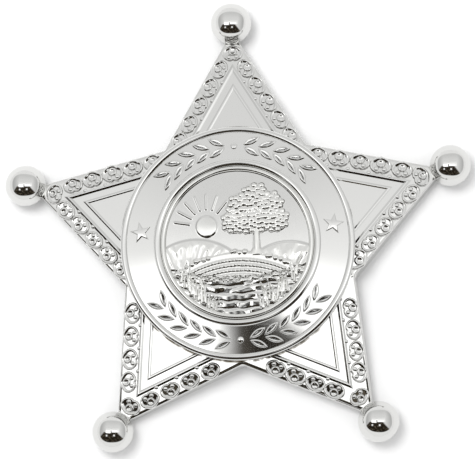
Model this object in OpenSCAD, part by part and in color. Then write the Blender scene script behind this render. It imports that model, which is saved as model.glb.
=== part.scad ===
// Five-pointed star badge with ball tips, an applied centre disc, a set-in relief and a bar pin.
// The face is up, one point lies toward +Y, and the star's rim and the balls' flats stand on z = 0.
// The origin is the middle of the star on that plane. All sizes are in millimetres.

/* [Star] */
// Reach of an arm's sharp corner from the middle, at the foot of the wall
arm_reach = 32.6; // [30:0.1:36]
// Reach of the valley between two arms from the middle, at the foot of the wall
valley_reach = 18.1; // [17.6:0.1:19.5]
// Height over the middle at which the planes of the five arms would meet
crown_h = 4.8; // [4.4:0.1:5.6]
// Fall of an arm's face toward its tip, in degrees
arm_fall = 4.5; // [3:0.5:6]
// Draft of the outer wall, in degrees
wall_draft = 3; // [1:1:6]
// Radius in the valleys and at the necks of the ball tips
valley_round = 0.8; // [0.4:0.1:1.4]
// Thickness of the face over the hollow back
face_t = 1.2; // [0.8:0.1:1.5]
// Thickness of the outer wall
wall_t = 1.3; // [1:0.1:2]
// Reach of the hollow back along each arm
hollow_reach = 28; // [22:0.5:29]

/* [Ball tips] */
// Diameter of a ball tip
ball_d = 6.1; // [4.5:0.1:8]
// Distance from an arm's sharp corner out to the middle of its ball
ball_out = 0.8; // [0:0.1:1.5]
// Height of a ball's middle above the flat it is cut to
ball_h = 2.6; // [2.4:0.05:2.9]
// Diameter of the neck that carries a ball
neck_d = 3; // [2:0.1:3.1]

/* [Border] */
// Height of the raised border over an arm's face
border_h = 0.3; // [0.15:0.05:0.4]
// Width of the lip along the arm's edge
lip_w = 0.22; // [0.15:0.01:0.4]
// Width of the row of scroll rings between the lip and the frame
row_w = 2.36; // [2:0.02:2.6]
// Width of the frame on the inner side of the row
frame_w = 0.55; // [0.3:0.05:0.8]
// Width of the flat band between the frame and the inner frame
band_w = 0.9; // [0.5:0.05:1.4]
// Width of the inner frame round the panel
inner_frame_w = 0.62; // [0.3:0.02:0.9]
// Height of the inner frame over the arm's face
inner_frame_h = 0.16; // [0.08:0.02:0.3]
// Distance between two scroll rings along an edge
ring_pitch = 3.17; // [2.8:0.01:3.6]
// Distance from the corner to the first scroll ring, along an edge
ring_start = 5.65; // [5:0.05:6.5]
// Distance from the corner to the scroll ring at the point, along the arm
ring_corner = 3.3; // [2.8:0.1:4]
// Number of scroll rings along an edge
ring_count = 5; // [3:1:5]
// Width of a scroll ring's raised line
ring_line = 0.36; // [0.25:0.01:0.45]
// Diameter of the bead in a scroll ring
ring_bead_d = 0.84; // [0.5:0.02:1]

/* [Centre disc] */
// Diameter of the disc
disc_d = 34.8; // [33.6:0.1:35.4]
// Thickness of the disc at its edge, under the rim
disc_edge_t = 0.8; // [0.6:0.05:1.2]
// Slope of the ring, in degrees
ring_fall = 7; // [4:0.5:9]
// Width of the raised rim
disc_rim_w = 0.76; // [0.5:0.02:1]
// Height of the raised rim over the edge of the ring
disc_rim_h = 0.24; // [0.15:0.01:0.4]
// Width of the disc's edge that laps over the relief on the arms
disc_lap = 0.8; // [0.5:0.05:1.2]
// Diameter of the boss that seats on the star
boss_d = 26; // [20:0.5:27]
// Diameter of the bead round the medallion
bezel_d = 24.8; // [24:0.1:25.2]
// Height of that bead over the inner edge of the ring
bezel_h = 0.22; // [0.1:0.01:0.35]
// Height of the stars and leaves over the ring
ornament_h = 0.16; // [0.1:0.02:0.3]
// Diameter of a small star, across its points
small_star_d = 3.3; // [2.4:0.1:3.6]
// Angle of a small star above the disc's level diameter
small_star_rise = 8.5; // [0:0.5:15]
// Length of a leaf
leaf_l = 2.8; // [2:0.1:3]
// Width of a leaf
leaf_w = 1; // [0.6:0.05:1.1]
// Angle between a leaf and its stem, in degrees
leaf_spread = 28; // [20:1:32]
// Number of leaf pairs in half of the upper spray
upper_pairs = 5; // [3:1:5]
// Number of leaf pairs in half of the lower spray
lower_pairs = 6; // [4:1:6]

/* [Posts] */
// Diameter of a post under the disc
post_d = 1.8; // [1.4:0.1:2.4]
// Diameter of a post's peened end
post_head_d = 3; // [2.6:0.1:3.6]
// Thickness of the peened end
post_head_t = 0.5; // [0.3:0.05:0.6]
// Distance between the two posts
post_span = 15; // [12:0.5:18]

/* [Medallion] */
// Diameter of the medallion
medal_d = 22.7; // [22:0.1:23.2]
// Thickness of the medallion under its relief
medal_t = 0.85; // [0.6:0.05:0.95]
// Width of the medallion's rim
medal_rim_w = 0.7; // [0.4:0.05:0.9]
// Height of the rim over the sunk field
medal_rim_h = 0.5; // [0.3:0.05:0.6]
// Height of the highest relief over the sunk field
relief_h = 0.45; // [0.25:0.05:0.5]

/* [Pin clasp] */
// Length of the bar
bar_l = 25; // [20:0.5:26]
// Width of the bar
bar_w = 4; // [3:0.1:5]
// Thickness of the bar
bar_t = 0.5; // [0.4:0.05:0.7]
// Distance of the bar above the badge's level middle line
bar_rise = 5; // [4:0.5:6]
// Diameter of the pin
pin_d = 0.7; // [0.5:0.05:0.8]
// Outside diameter of the hinge barrel and the catch
barrel_d = 1.7; // [1.5:0.05:1.8]
// Width of the catch along the bar
catch_w = 2; // [1.2:0.1:3]

/* [Fits] */
// Gap between two pieces that lie on each other
seat_gap = 0.05; // [0.03:0.01:0.1]

/* [Hidden] */

arms = 5;
arm_turn = 360 / arms;
half_turn = arm_turn / 2;
sink = 0.4;
over = 1;
sector_gap = 0.08;
fine = 96;
small = 32;
// Facets of the outline's rounding, eight to an arm so that all five arms come out alike.
corner_facets = 8 * arms;

// The star's outline: every edge lies edge_reach from the middle and opens by arm_half from its arm's line.
arm_half = atan2(valley_reach * sin(half_turn), arm_reach - valley_reach * cos(half_turn));
edge_reach = arm_reach * sin(arm_half);
block_h = crown_h + border_h + over;
block_taper = 1 - block_h * tan(wall_draft) / edge_reach;

// The five arm planes fall from crown_h, and are cut flat to a seat for the disc.
boss_r = boss_d / 2;
disc_r = disc_d / 2;
seat_h = crown_h - boss_r * tan(arm_fall);
ceiling_h = seat_h - face_t;
crown_r = crown_h / tan(arm_fall) / cos(half_turn);

// Reach of the top corner, where the relief's distances from the edge are measured.
ball_reach = arm_reach + ball_out;
corner_h = crown_h - arm_reach * tan(arm_fall);
top_reach = arm_reach - corner_h * tan(wall_draft) / sin(arm_half);
relief_start = disc_r - disc_lap;
row_in = lip_w + row_w;
frame_in = row_in + frame_w;
band_in = frame_in + band_w;
panel_in = band_in + inner_frame_w;

// A scroll ring fills the row's width: a round body toward the edge over two lobes, as shares of that width.
body_share = 0.4;
lobe_share = 0.28;
lobe_spread = 0.92;
bead_share = 0.25;
ring_body_r = body_share * row_w;
ring_body_v = row_w / 2 - ring_body_r;
ring_lobe_r = lobe_share * row_w;
ring_lobe_u = lobe_spread * ring_lobe_r;
ring_lobe_v = ring_lobe_r - row_w / 2;
ring_mid = lip_w + row_w / 2;
ring_bead_v = bead_share * row_w;

// The disc lies clear of the border's highest bead and rests its boss on the seat.
bead_over = max(border_h, ring_bead_d / 2);
disc_under_h = crown_h - relief_start * cos(half_turn) * tan(arm_fall) + bead_over / cos(arm_fall) + seat_gap;
boss_under_h = seat_h + seat_gap;
ring_out_r = disc_r - disc_rim_w;
bezel_r = bezel_d / 2;
medal_r = medal_d / 2;
pocket_r = medal_r + seat_gap;
bezel_w = bezel_r - pocket_r;
ring_out_h = disc_under_h + disc_edge_t;
ring_in_h = ring_out_h + (ring_out_r - bezel_r) * tan(ring_fall);
bezel_top_h = ring_in_h + bezel_h;
medal_field_h = bezel_top_h - medal_rim_h;
pocket_h = medal_field_h - medal_t - seat_gap;
ring_mid_r = (ring_out_r + bezel_r) / 2;
ring_mid_h = (ring_out_h + ring_in_h) / 2;

// A spray's leaves start just off the stem, and each pair starts where most of the last one ends.
leaf_start = leaf_l / 10;
leaf_step = 2 * asin(0.8 * leaf_l / 2 / ring_mid_r);
small_star_waist = 0.42;
bezel_chamfer = bezel_w / 5;

post_end_h = ceiling_h - seat_gap;
post_root = (pocket_h - boss_under_h) / 2;
field_r = medal_r - medal_rim_w;
medal_chamfer = medal_rim_w / 7;

// The relief's layout, in shares of the field's radius.
hill_top = -0.12;
hill_r = 1.5;
furrow_drops = [0.07, 0.14, 0.21, 0.28];
furrow_w = 0.035;
// The far hills, each as its middle across, its top, its radius and its share of the relief's height.
far_hills = [[-0.6, 0.08, 0.85, 0.3], [0.7, 0, 0.75, 0.35]];
sun_x = -0.42;
sun_y = 0.24;
sun_r = 0.16;
ray_count = 9;
ray_fan = 160;
ray_in = 0.24;
ray_out = 0.46;
ray_w = 0.024;
tree_x = 0.27;
trunk_shape = [[-0.11, -0.18], [0.11, -0.18], [0.05, -0.08], [0.04, 0.2], [-0.04, 0.2], [-0.05, -0.08]];
// The clumps of the crown, each as its middle across, its middle up and its radius.
crown_clumps = [[0, 0.62, 0.2], [-0.2, 0.5, 0.19], [0.2, 0.5, 0.19], [-0.3, 0.3, 0.17], [0.28, 0.3, 0.17],
                [-0.1, 0.3, 0.18], [0.1, 0.32, 0.18]];
// The water in the foreground, whose bank and ripples curve the other way.
bank_top = -0.5;
bank_r = 3;
ripple_drops = [0.07, 0.15, 0.23, 0.31, 0.39];
ripple_w = 0.03;

// The bar lies clear of the hollow's flat and of its slope, which is lowest over the bar's upper corners.
bar_corner_reach = bar_l / 2 * sin(arm_turn) + (bar_rise + bar_w / 2) * cos(arm_turn);
slope_h = crown_h - face_t / cos(arm_fall) - bar_corner_reach * tan(arm_fall);
bar_top_h = min(ceiling_h, slope_h) - seat_gap;
bar_under_h = bar_top_h - bar_t;
barrel_r = barrel_d / 2;
barrel_bite = 0.1;
barrel_h = bar_under_h - barrel_r + barrel_bite;
catch_x = bar_l / 2 - max(barrel_r, catch_w / 2);

// Radius of the circle whose cap is w wide and h high.
function cap_r(w, h) = (w * w / 4 + h * h) / (2 * h);

// Corner of a star whose edges lie d inside the outline's edges.
function star_corner(d, i) =
    let(e = edge_reach - d, odd = i % 2,
        r = odd == 0 ? e / sin(arm_half) : e / cos(90 - arm_half - half_turn))
    [r * cos(90 + i * half_turn), r * sin(90 + i * half_turn)];

module star_outline(d) {
    polygon([for (i = [0 : 2 * arms - 1]) star_corner(d, i)]);
}

// Foot of the casting, with the necks and rounded inner corners.
module foot_outline() {
    offset(r = -valley_round, $fn = corner_facets) offset(delta = valley_round) {
        star_outline(0);
        for (i = [0 : arms - 1]) rotate(i * arm_turn)
            translate([0, ball_reach]) circle(d = neck_d, $fn = small);
    }
}

module drafted_block() {
    linear_extrude(height = block_h, scale = block_taper) foot_outline();
}

// Everything under the five arm planes, cut flat at height h.
module under_arm_planes(h) {
    intersection() {
        rotate(90 - half_turn) cylinder(h = crown_h, r1 = crown_r, r2 = 0, $fn = arms);
        cylinder(h = h, r = arm_reach + ball_d, $fn = fine);
    }
}

// Puts an arm's own plane, with u across and v toward the tip, in place on arm i.
module on_arm(i) {
    rotate(i * arm_turn) translate([0, 0, crown_h]) rotate([-arm_fall, 0, 0]) children();
}

// One arm's share of the face, outside the disc's seat and a hair short of its neighbours'.
module arm_sector() {
    far = 2 * arm_reach;
    difference() {
        translate([0, sector_gap])
            polygon([[0, 0], [far * tan(half_turn), far], [-far * tan(half_turn), far]]);
        circle(r = relief_start, $fn = fine);
    }
}

// A V-shaped strip between two distances in from the arm's edges.
module chevron(d1, d2) {
    v1 = top_reach - d1 / sin(arm_half);
    v2 = top_reach - d2 / sin(arm_half);
    foot = relief_start * cos(half_turn) / 2;
    u1 = (v1 - foot) * tan(arm_half);
    u2 = (v2 - foot) * tan(arm_half);
    polygon([[0, v1], [u1, foot], [u2, foot], [0, v2], [-u2, foot], [-u1, foot]]);
}

module raised_strip(d1, d2, h) {
    translate([0, 0, -sink]) linear_extrude(height = sink + h)
        intersection() {
            chevron(d1, d2);
            arm_sector();
        }
}

// Outline of a scroll ring, inset by t, with its body toward +v.
module scroll_outline(t) {
    translate([0, ring_body_v]) circle(r = ring_body_r - t, $fn = small);
    for (s = [-1, 1]) translate([s * ring_lobe_u, ring_lobe_v]) circle(r = ring_lobe_r - t, $fn = small);
    wide = ring_lobe_u + ring_lobe_r - t;
    polygon([[-ring_body_r + t, ring_body_v], [ring_body_r - t, ring_body_v],
             [wide, ring_lobe_v], [-wide, ring_lobe_v]]);
}

module scroll_ring() {
    translate([0, 0, -sink]) linear_extrude(height = sink + border_h)
        difference() {
            scroll_outline(0);
            scroll_outline(ring_line);
        }
    translate([0, ring_bead_v, 0]) sphere(d = ring_bead_d, $fn = small);
}

// The rings of one arm: one at the point and a row along each edge, their bodies toward the edge.
module scroll_rings() {
    translate([0, top_reach - ring_corner, 0]) scroll_ring();
    for (s = [-1, 1], n = [0 : ring_count - 1]) {
        along = ring_start + n * ring_pitch;
        translate([s * (along * sin(arm_half) - ring_mid * cos(arm_half)),
                   top_reach - along * cos(arm_half) - ring_mid * sin(arm_half), 0])
            rotate(s * (arm_half - 90)) scroll_ring();
    }
}

module arm_relief(i) {
    on_arm(i) {
        raised_strip(row_in, frame_in, border_h);
        raised_strip(band_in, panel_in, inner_frame_h);
        intersection() {
            scroll_rings();
            difference() {
                translate([-arm_reach, 0, -over]) cube([2 * arm_reach, 2 * arm_reach, 2 * over]);
                translate([0, 0, -2 * over]) cylinder(h = 4 * over, r = relief_start, $fn = fine);
            }
        }
    }
}

module ball_tip(i) {
    rotate(i * arm_turn) intersection() {
        translate([0, ball_reach, ball_h]) sphere(d = ball_d, $fn = fine);
        translate([-ball_d, ball_reach - ball_d, 0]) cube([2 * ball_d, 2 * ball_d, 2 * ball_d]);
    }
}

module hollow_back() {
    intersection() {
        translate([0, 0, -over]) linear_extrude(height = ceiling_h + over)
            intersection() {
                star_outline(wall_t);
                circle(r = hollow_reach, $fn = fine);
            }
        translate([0, 0, -face_t / cos(arm_fall)]) under_arm_planes(crown_h);
    }
}

module at_posts() {
    for (s = [-1, 1]) translate([s * post_span / 2, -bar_rise, 0]) children();
}

module star_plate() {
    color("gainsboro") difference() {
        union() {
            intersection() {
                drafted_block();
                union() {
                    under_arm_planes(seat_h);
                    for (i = [0 : arms - 1]) on_arm(i) raised_strip(-over, lip_w, border_h);
                }
            }
            for (i = [0 : arms - 1]) {
                arm_relief(i);
                ball_tip(i);
            }
        }
        hollow_back();
        at_posts() cylinder(h = block_h, d = post_d + 2 * seat_gap, $fn = small);
    }
}

// Puts a flat ornament on the sloping ring at angle a from +Y, with v pointing outwards.
module on_ring(a) {
    rotate(-a) translate([0, ring_mid_r, ring_mid_h]) rotate([-ring_fall, 0, 0])
        translate([0, 0, -sink]) linear_extrude(height = sink + ornament_h) children();
}

module small_star() {
    r = small_star_d / 2;
    waist = small_star_waist * r;
    polygon([for (i = [0 : 2 * arms - 1]) let(q = i % 2 == 0 ? r : waist)
             [q * sin(i * half_turn), q * cos(i * half_turn)]]);
}

// A pointed leaf along +v from its foot, made where two circles overlap.
module leaf() {
    r = cap_r(leaf_l, leaf_w / 2);
    intersection() {
        translate([r - leaf_w / 2, leaf_l / 2]) circle(r = r, $fn = fine);
        translate([leaf_w / 2 - r, leaf_l / 2]) circle(r = r, $fn = fine);
    }
}

// A pair of leaves that spread from the stem, pointing along the spray by way s.
module leaf_pair(s) {
    for (t = [-1, 1]) rotate(-s * (90 - t * leaf_spread)) translate([0, leaf_start]) leaf();
}

// Two sprays of leaves that start at angle mid and run to both sides.
module laurel(mid, pairs) {
    on_ring(mid) circle(d = leaf_w, $fn = small);
    for (s = [-1, 1], n = [0 : pairs - 1]) on_ring(mid + s * (n + 0.5) * leaf_step) leaf_pair(s);
}

module disc_body() {
    rotate_extrude($fn = fine) {
        polygon([[0, boss_under_h], [boss_r, boss_under_h], [boss_r, disc_under_h], [disc_r, disc_under_h],
                 [disc_r, ring_out_h], [ring_out_r, ring_out_h], [bezel_r, ring_in_h],
                 [bezel_r - bezel_chamfer, bezel_top_h], [pocket_r, bezel_top_h], [pocket_r, pocket_h],
                 [0, pocket_h]]);
        intersection() {
            translate([disc_r - disc_rim_w / 2, ring_out_h + disc_rim_h - cap_r(disc_rim_w, disc_rim_h)])
                circle(r = cap_r(disc_rim_w, disc_rim_h), $fn = small);
            translate([disc_r - disc_rim_w, ring_out_h - disc_edge_t / 2]) square([disc_rim_w, disc_edge_t]);
        }
    }
}

module centre_disc() {
    color("silver") {
        disc_body();
        for (s = [-1, 1]) on_ring(s * (90 - small_star_rise)) small_star();
        laurel(0, upper_pairs);
        laurel(180, lower_pairs);
        at_posts() {
            translate([0, 0, post_end_h])
                cylinder(h = boss_under_h - post_end_h + post_root, d = post_d, $fn = small);
            translate([0, 0, post_end_h - post_head_t])
                cylinder(h = post_head_t, d = post_head_d, $fn = small);
        }
    }
}

// Everything of the relief is drawn in shares of the field's radius and stays inside the rim.
module relief_slab(share) {
    translate([0, 0, medal_field_h - sink]) linear_extrude(height = sink + share * relief_h)
        intersection() {
            circle(r = field_r, $fn = fine);
            children();
        }
}

module hill(x, top, r) {
    translate([x * field_r, (top - r) * field_r]) circle(r = r * field_r, $fn = fine);
}

// A raised furrow that follows the near hill, drop below its top.
module furrow(drop) {
    difference() {
        hill(0, hill_top - drop, hill_r);
        hill(0, hill_top - drop - furrow_w, hill_r);
    }
}

// A round clump of leaves, as high as the relief in its middle and r wide where it meets the field.
module clump(x, y, r) {
    ball = cap_r(2 * r * field_r, relief_h);
    translate([x * field_r, y * field_r, medal_field_h + relief_h - ball]) sphere(r = ball, $fn = fine);
}

module tree_crown() {
    intersection() {
        translate([0, 0, medal_field_h - sink]) cylinder(h = sink + 2 * relief_h, r = field_r, $fn = fine);
        for (c = crown_clumps) clump(tree_x + c[0], c[1], c[2]);
    }
}

module trunk() {
    polygon([for (p = trunk_shape) (p + [tree_x, 0]) * field_r]);
}

// Rays that spread upwards from behind the far hill.
module sun_rays() {
    translate([sun_x * field_r, sun_y * field_r]) for (i = [0 : ray_count - 1])
        rotate((i / (ray_count - 1) - 0.5) * ray_fan)
            translate([-ray_w * field_r / 2, ray_in * field_r])
                square([ray_w * field_r, (ray_out - ray_in) * field_r]);
}

// The land above the water, whose bank sags to bank_top in the middle, lowered by drop.
module above_bank(drop) {
    translate([0, bank_top - drop + bank_r] * field_r) circle(r = bank_r * field_r, $fn = fine);
}

module ripple(drop) {
    difference() {
        above_bank(drop + ripple_w);
        above_bank(drop);
    }
}

// The hills and the ploughed field, cut away where the water lies.
module land() {
    difference() {
        union() {
            for (h = far_hills) relief_slab(h[3]) hill(h[0], h[1], h[2]);
            relief_slab(0.5) hill(0, hill_top, hill_r);
            for (d = furrow_drops) relief_slab(0.75) furrow(d);
        }
        translate([0, 0, medal_field_h]) linear_extrude(height = relief_h + over)
            difference() {
                circle(r = medal_r, $fn = fine);
                above_bank(0);
            }
    }
}

module seal_medallion() {
    color("gainsboro") {
        rotate_extrude($fn = fine)
            polygon([[0, medal_field_h - medal_t], [medal_r, medal_field_h - medal_t],
                     [medal_r, bezel_top_h], [field_r + medal_chamfer, bezel_top_h], [field_r, medal_field_h],
                     [0, medal_field_h]]);
        land();
        for (d = ripple_drops) relief_slab(0.3) ripple(d);
        relief_slab(0.35) translate([sun_x, sun_y] * field_r) circle(r = sun_r * field_r, $fn = fine);
        relief_slab(0.2) sun_rays();
        relief_slab(0.8) trunk();
        tree_crown();
    }
}

// The pin lies under the bar between its barrel and its catch.
module pin_clasp() {
    color("darkgray") translate([0, bar_rise, 0]) {
        translate([-bar_l / 2, -bar_w / 2, bar_under_h]) cube([bar_l, bar_w, bar_t]);
        translate([-catch_x, bar_w / 2, barrel_h]) rotate([90, 0, 0])
            cylinder(h = bar_w, r = barrel_r, $fn = small);
        translate([-catch_x, 0, barrel_h]) rotate([0, 90, 0])
            cylinder(h = 2 * catch_x, d = pin_d, $fn = small);
        translate([catch_x - catch_w / 2, 0, barrel_h]) rotate([0, 90, 0])
            cylinder(h = catch_w, r = barrel_r, $fn = small);
    }
}

star_plate();
centre_disc();
seal_medallion();
pin_clasp();
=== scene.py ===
"""Looks of a chrome star badge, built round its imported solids.

The star casting carries a raised border of scroll rings and frames, an applied disc with laurel
sprays, a medallion with a struck landscape, and a bar pin behind. All lengths are in metres.
"""

import logging
import math
from collections.abc import Callable, Iterator, Sequence
from contextlib import contextmanager
from dataclasses import dataclass, field
from enum import Enum

import bmesh
import bpy
import numpy as np
from mathutils import Matrix, Vector

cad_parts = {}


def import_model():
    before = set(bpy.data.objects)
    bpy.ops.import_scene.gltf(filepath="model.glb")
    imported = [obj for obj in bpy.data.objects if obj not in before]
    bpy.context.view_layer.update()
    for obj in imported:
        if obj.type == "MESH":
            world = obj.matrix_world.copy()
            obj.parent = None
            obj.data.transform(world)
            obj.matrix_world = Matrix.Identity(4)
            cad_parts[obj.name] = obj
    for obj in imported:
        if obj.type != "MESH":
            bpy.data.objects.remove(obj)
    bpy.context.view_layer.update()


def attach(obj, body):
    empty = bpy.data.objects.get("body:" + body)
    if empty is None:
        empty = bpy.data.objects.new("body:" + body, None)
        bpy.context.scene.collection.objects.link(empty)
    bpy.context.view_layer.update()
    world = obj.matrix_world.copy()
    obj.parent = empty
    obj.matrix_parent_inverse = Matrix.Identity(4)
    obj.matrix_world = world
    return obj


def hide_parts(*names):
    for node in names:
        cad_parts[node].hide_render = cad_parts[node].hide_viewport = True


LOG = logging.getLogger("badge")
MM = 0.001
# Points closer than this are one
SAME = MM / 2000
ARMS = 5
ARM_TURN = 2 * math.pi / ARMS
HALF_TURN = ARM_TURN / 2
PICTURE = (475, 459)
Point = tuple[float, float]
Colour = tuple[float, float, float, float]
Socket = bpy.types.NodeSocket


# ---------------------------------------------------------------- modelling


class Pick(Enum):
    """What an edit-mode selection is made of."""

    POINTS = "VERT"
    EDGES = "EDGE"
    FACES = "FACE"


class Side(Enum):
    """The two edges of an arm, or the two halves of a spray."""

    LEFT = -1
    RIGHT = 1


def deselect_all() -> None:
    """Leaves nothing selected, in object mode."""
    if bpy.context.object and bpy.context.object.mode != "OBJECT":
        bpy.ops.object.mode_set(mode="OBJECT")
    bpy.ops.object.select_all(action="DESELECT")


def choose(*objects: bpy.types.Object) -> None:
    """Selects only these objects and makes the first one active.

    Args:
        objects: The objects that the next operator works on.
    """
    deselect_all()
    for each in objects:
        each.select_set(True)
    bpy.context.view_layer.objects.active = objects[0]


@contextmanager
def editing(obj: bpy.types.Object) -> Iterator[None]:
    """Holds one object in edit mode.

    Args:
        obj: The mesh object to edit.

    Yields:
        Nothing, once the object is in edit mode.
    """
    choose(obj)
    bpy.ops.object.mode_set(mode="EDIT")
    try:
        yield
    finally:
        bpy.ops.object.mode_set(mode="OBJECT")


def pick(obj: bpy.types.Object, what: Pick, test: Callable[..., bool]) -> int:
    """Selects the points, edges or faces of an object in edit mode that pass a test.

    Args:
        obj: The object, which is in edit mode.
        what: The kind of element.
        test: Says of one element whether it is picked.

    Returns:
        How many were picked.
    """
    bpy.ops.mesh.select_mode(type=what.value)
    bpy.ops.mesh.select_all(action="DESELECT")
    mesh = bmesh.from_edit_mesh(obj.data)
    mesh.normal_update()
    elements = {Pick.POINTS: mesh.verts, Pick.EDGES: mesh.edges, Pick.FACES: mesh.faces}[what]
    found = [each for each in elements if test(each)]
    for each in found:
        each.select_set(True)
    mesh.select_flush_mode()
    bmesh.update_edit_mesh(obj.data)
    return len(found)


def outline(name: str, points: Sequence[Point], filled: bool = True) -> bpy.types.Object:
    """Adds a flat outline: a circle whose corners are moved to the given points.

    Args:
        name: The new object's name.
        points: The corners in order, on the plane z = 0.
        filled: Whether the outline is a face or only a ring of edges.

    Returns:
        The new object.
    """
    deselect_all()
    fill = "NGON" if filled else "NOTHING"
    bpy.ops.mesh.primitive_circle_add(vertices=len(points), radius=MM, fill_type=fill)
    obj = bpy.context.object
    obj.name = obj.data.name = name
    for vertex, (x, y) in zip(obj.data.vertices, points):
        vertex.co = (x, y, 0)
    return obj


def raise_outline(obj: bpy.types.Object, height: float, taper: float = 1.0) -> None:
    """Extrudes a flat face into a solid block, narrowed at the top.

    Args:
        obj: The flat outline.
        height: How far up the face goes.
        taper: The size of the top as a share of the bottom.
    """
    with editing(obj):
        bpy.ops.mesh.select_all(action="SELECT")
        bpy.ops.mesh.extrude_region_move(TRANSFORM_OT_translate={"value": (0, 0, height)})
        if taper != 1.0:
            bpy.ops.transform.resize(value=(taper, taper, 1), center_override=(0, 0, 0))
        bpy.ops.mesh.select_all(action="SELECT")
        bpy.ops.mesh.normals_make_consistent(inside=False)


def raise_in_steps(obj: bpy.types.Object, steps: Sequence[Point]) -> bpy.types.Object:
    """Raises an outline from just under its plane, drawn in and up in steps.

    Args:
        obj: The flat outline.
        steps: How far in and up each step goes.

    Returns:
        The raised form, with its foot below the plane.
    """
    sink = 0.08 * MM
    raise_outline(obj, sink)
    obj.data.transform(Matrix.Translation((0, 0, -sink)))
    with editing(obj):
        pick(obj, Pick.FACES, lambda f: f.normal.z > 0.9)
        for draw_in, rise in steps:
            if draw_in:
                bpy.ops.mesh.inset(thickness=draw_in, use_even_offset=True)
            else:
                bpy.ops.mesh.extrude_region_move()
            bpy.ops.transform.translate(value=(0, 0, rise))
    return obj


def cut_above(obj: bpy.types.Object, place: Vector, normal: Vector) -> None:
    """Cuts off what lies on the normal's side of a plane, and closes the cut.

    Args:
        obj: The solid to cut.
        place: A point of the plane.
        normal: The plane's direction, toward what is cut off.
    """
    with editing(obj):
        bpy.ops.mesh.select_all(action="SELECT")
        bpy.ops.mesh.bisect(plane_co=place, plane_no=normal, use_fill=True, clear_outer=True)


def rise_of(edge: bmesh.types.BMEdge) -> float:
    """How far an edge rises from one end to the other."""
    return abs(edge.verts[0].co.z - edge.verts[1].co.z)


def round_edges(
    obj: bpy.types.Object, width: float, steps: int, test: Callable[[bmesh.types.BMEdge], bool]
) -> None:
    """Bevels the edges that pass a test.

    Args:
        obj: The object.
        width: The bevel's width on each face.
        steps: The number of steps in the rounding.
        test: Says of one edge whether it is rounded.
    """
    with editing(obj):
        if pick(obj, Pick.EDGES, test):
            bpy.ops.mesh.bevel(offset=width, segments=steps, affect="EDGES", clamp_overlap=True)


def add_modifier(obj: bpy.types.Object, kind: str, **settings: object) -> None:
    """Adds a modifier and applies it.

    Args:
        obj: The object.
        kind: The modifier's type.
        settings: Its settings by name.
    """
    choose(obj)
    modifier = obj.modifiers.new(kind.title(), kind)
    for key, value in settings.items():
        setattr(modifier, key, value)
    bpy.ops.object.modifier_apply(modifier=modifier.name)


def break_edges(obj: bpy.types.Object, width: float, steps: int, sharp: float) -> None:
    """Rounds every edge that is sharper than an angle.

    Args:
        obj: The object.
        width: The rounding's width.
        steps: The number of steps in it.
        sharp: The angle between two faces from which their edge is rounded.
    """
    add_modifier(obj, "BEVEL", width=width, segments=steps, limit_method="ANGLE", angle_limit=sharp)


def subtract(obj: bpy.types.Object, cutter: bpy.types.Object) -> None:
    """Cuts one solid out of another and removes the cutter."""
    add_modifier(obj, "BOOLEAN", operation="DIFFERENCE", object=cutter, solver="EXACT")
    bpy.data.objects.remove(cutter)


def copy_at(obj: bpy.types.Object, place: Matrix) -> bpy.types.Object:
    """Copies an object with a mesh of its own, whose place is in the mesh.

    Args:
        obj: The object to copy.
        place: Where the copy goes.

    Returns:
        The copy.
    """
    twin = obj.copy()
    twin.data = obj.data.copy()
    twin.data.transform(place)
    bpy.context.scene.collection.objects.link(twin)
    return twin


def turned_to(direction: Vector) -> Matrix:
    """The turn that brings the z axis to a direction."""
    return direction.to_track_quat("Z", "Y").to_matrix().to_4x4()


def join(name: str, objects: Sequence[bpy.types.Object]) -> bpy.types.Object:
    """Joins objects into one.

    Args:
        name: The joined object's name.
        objects: What is joined; the first one stays.

    Returns:
        The joined object.
    """
    choose(*objects)
    if len(objects) > 1:
        bpy.ops.object.join()
    whole = bpy.context.object
    whole.name = whole.data.name = name
    return whole


def smooth(obj: bpy.types.Object, angle: float = 30.0, keep_flats: bool = False) -> None:
    """Shades an object smooth.

    Args:
        obj: The object.
        angle: Edges sharper than this, in degrees, stay sharp.
        keep_flats: Whether large faces keep their own direction, so that they mirror as flats.
    """
    choose(obj)
    bpy.ops.object.shade_smooth_by_angle(angle=math.radians(angle))
    if keep_flats:
        add_modifier(obj, "WEIGHTED_NORMAL", mode="FACE_AREA", weight=50, keep_sharp=True)


def spun(name: str, profile: Sequence[Point], steps: int) -> bpy.types.Object:
    """Turns a closed profile of radii and heights round the z axis.

    Args:
        name: The new object's name.
        profile: Points of radius and height, in order round the section.
        steps: The number of steps round the axis.

    Returns:
        The turned solid.
    """
    obj = outline(name, profile, filled=False)
    obj.data.transform(Matrix.Rotation(math.pi / 2, 4, "X"))
    with editing(obj):
        bpy.ops.mesh.select_all(action="SELECT")
        bpy.ops.mesh.spin(steps=steps, angle=2 * math.pi, center=(0, 0, 0), axis=(0, 0, 1))
        bpy.ops.mesh.select_all(action="SELECT")
        bpy.ops.mesh.remove_doubles(threshold=SAME)
        bpy.ops.mesh.dissolve_degenerate(threshold=SAME)
        bpy.ops.mesh.normals_make_consistent(inside=False)
    return obj


def arc(centre: Point, radius: float, start: float, end: float, steps: int) -> list[Point]:
    """Points of an arc.

    Args:
        centre: The arc's middle.
        radius: Its radius.
        start: Its first angle, in degrees from the first axis.
        end: Its last angle.
        steps: The number of steps between them.

    Returns:
        The points in order, both ends included.
    """
    angles = np.radians(np.linspace(start, end, steps + 1))
    return [(centre[0] + radius * math.cos(a), centre[1] + radius * math.sin(a)) for a in angles]


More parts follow.
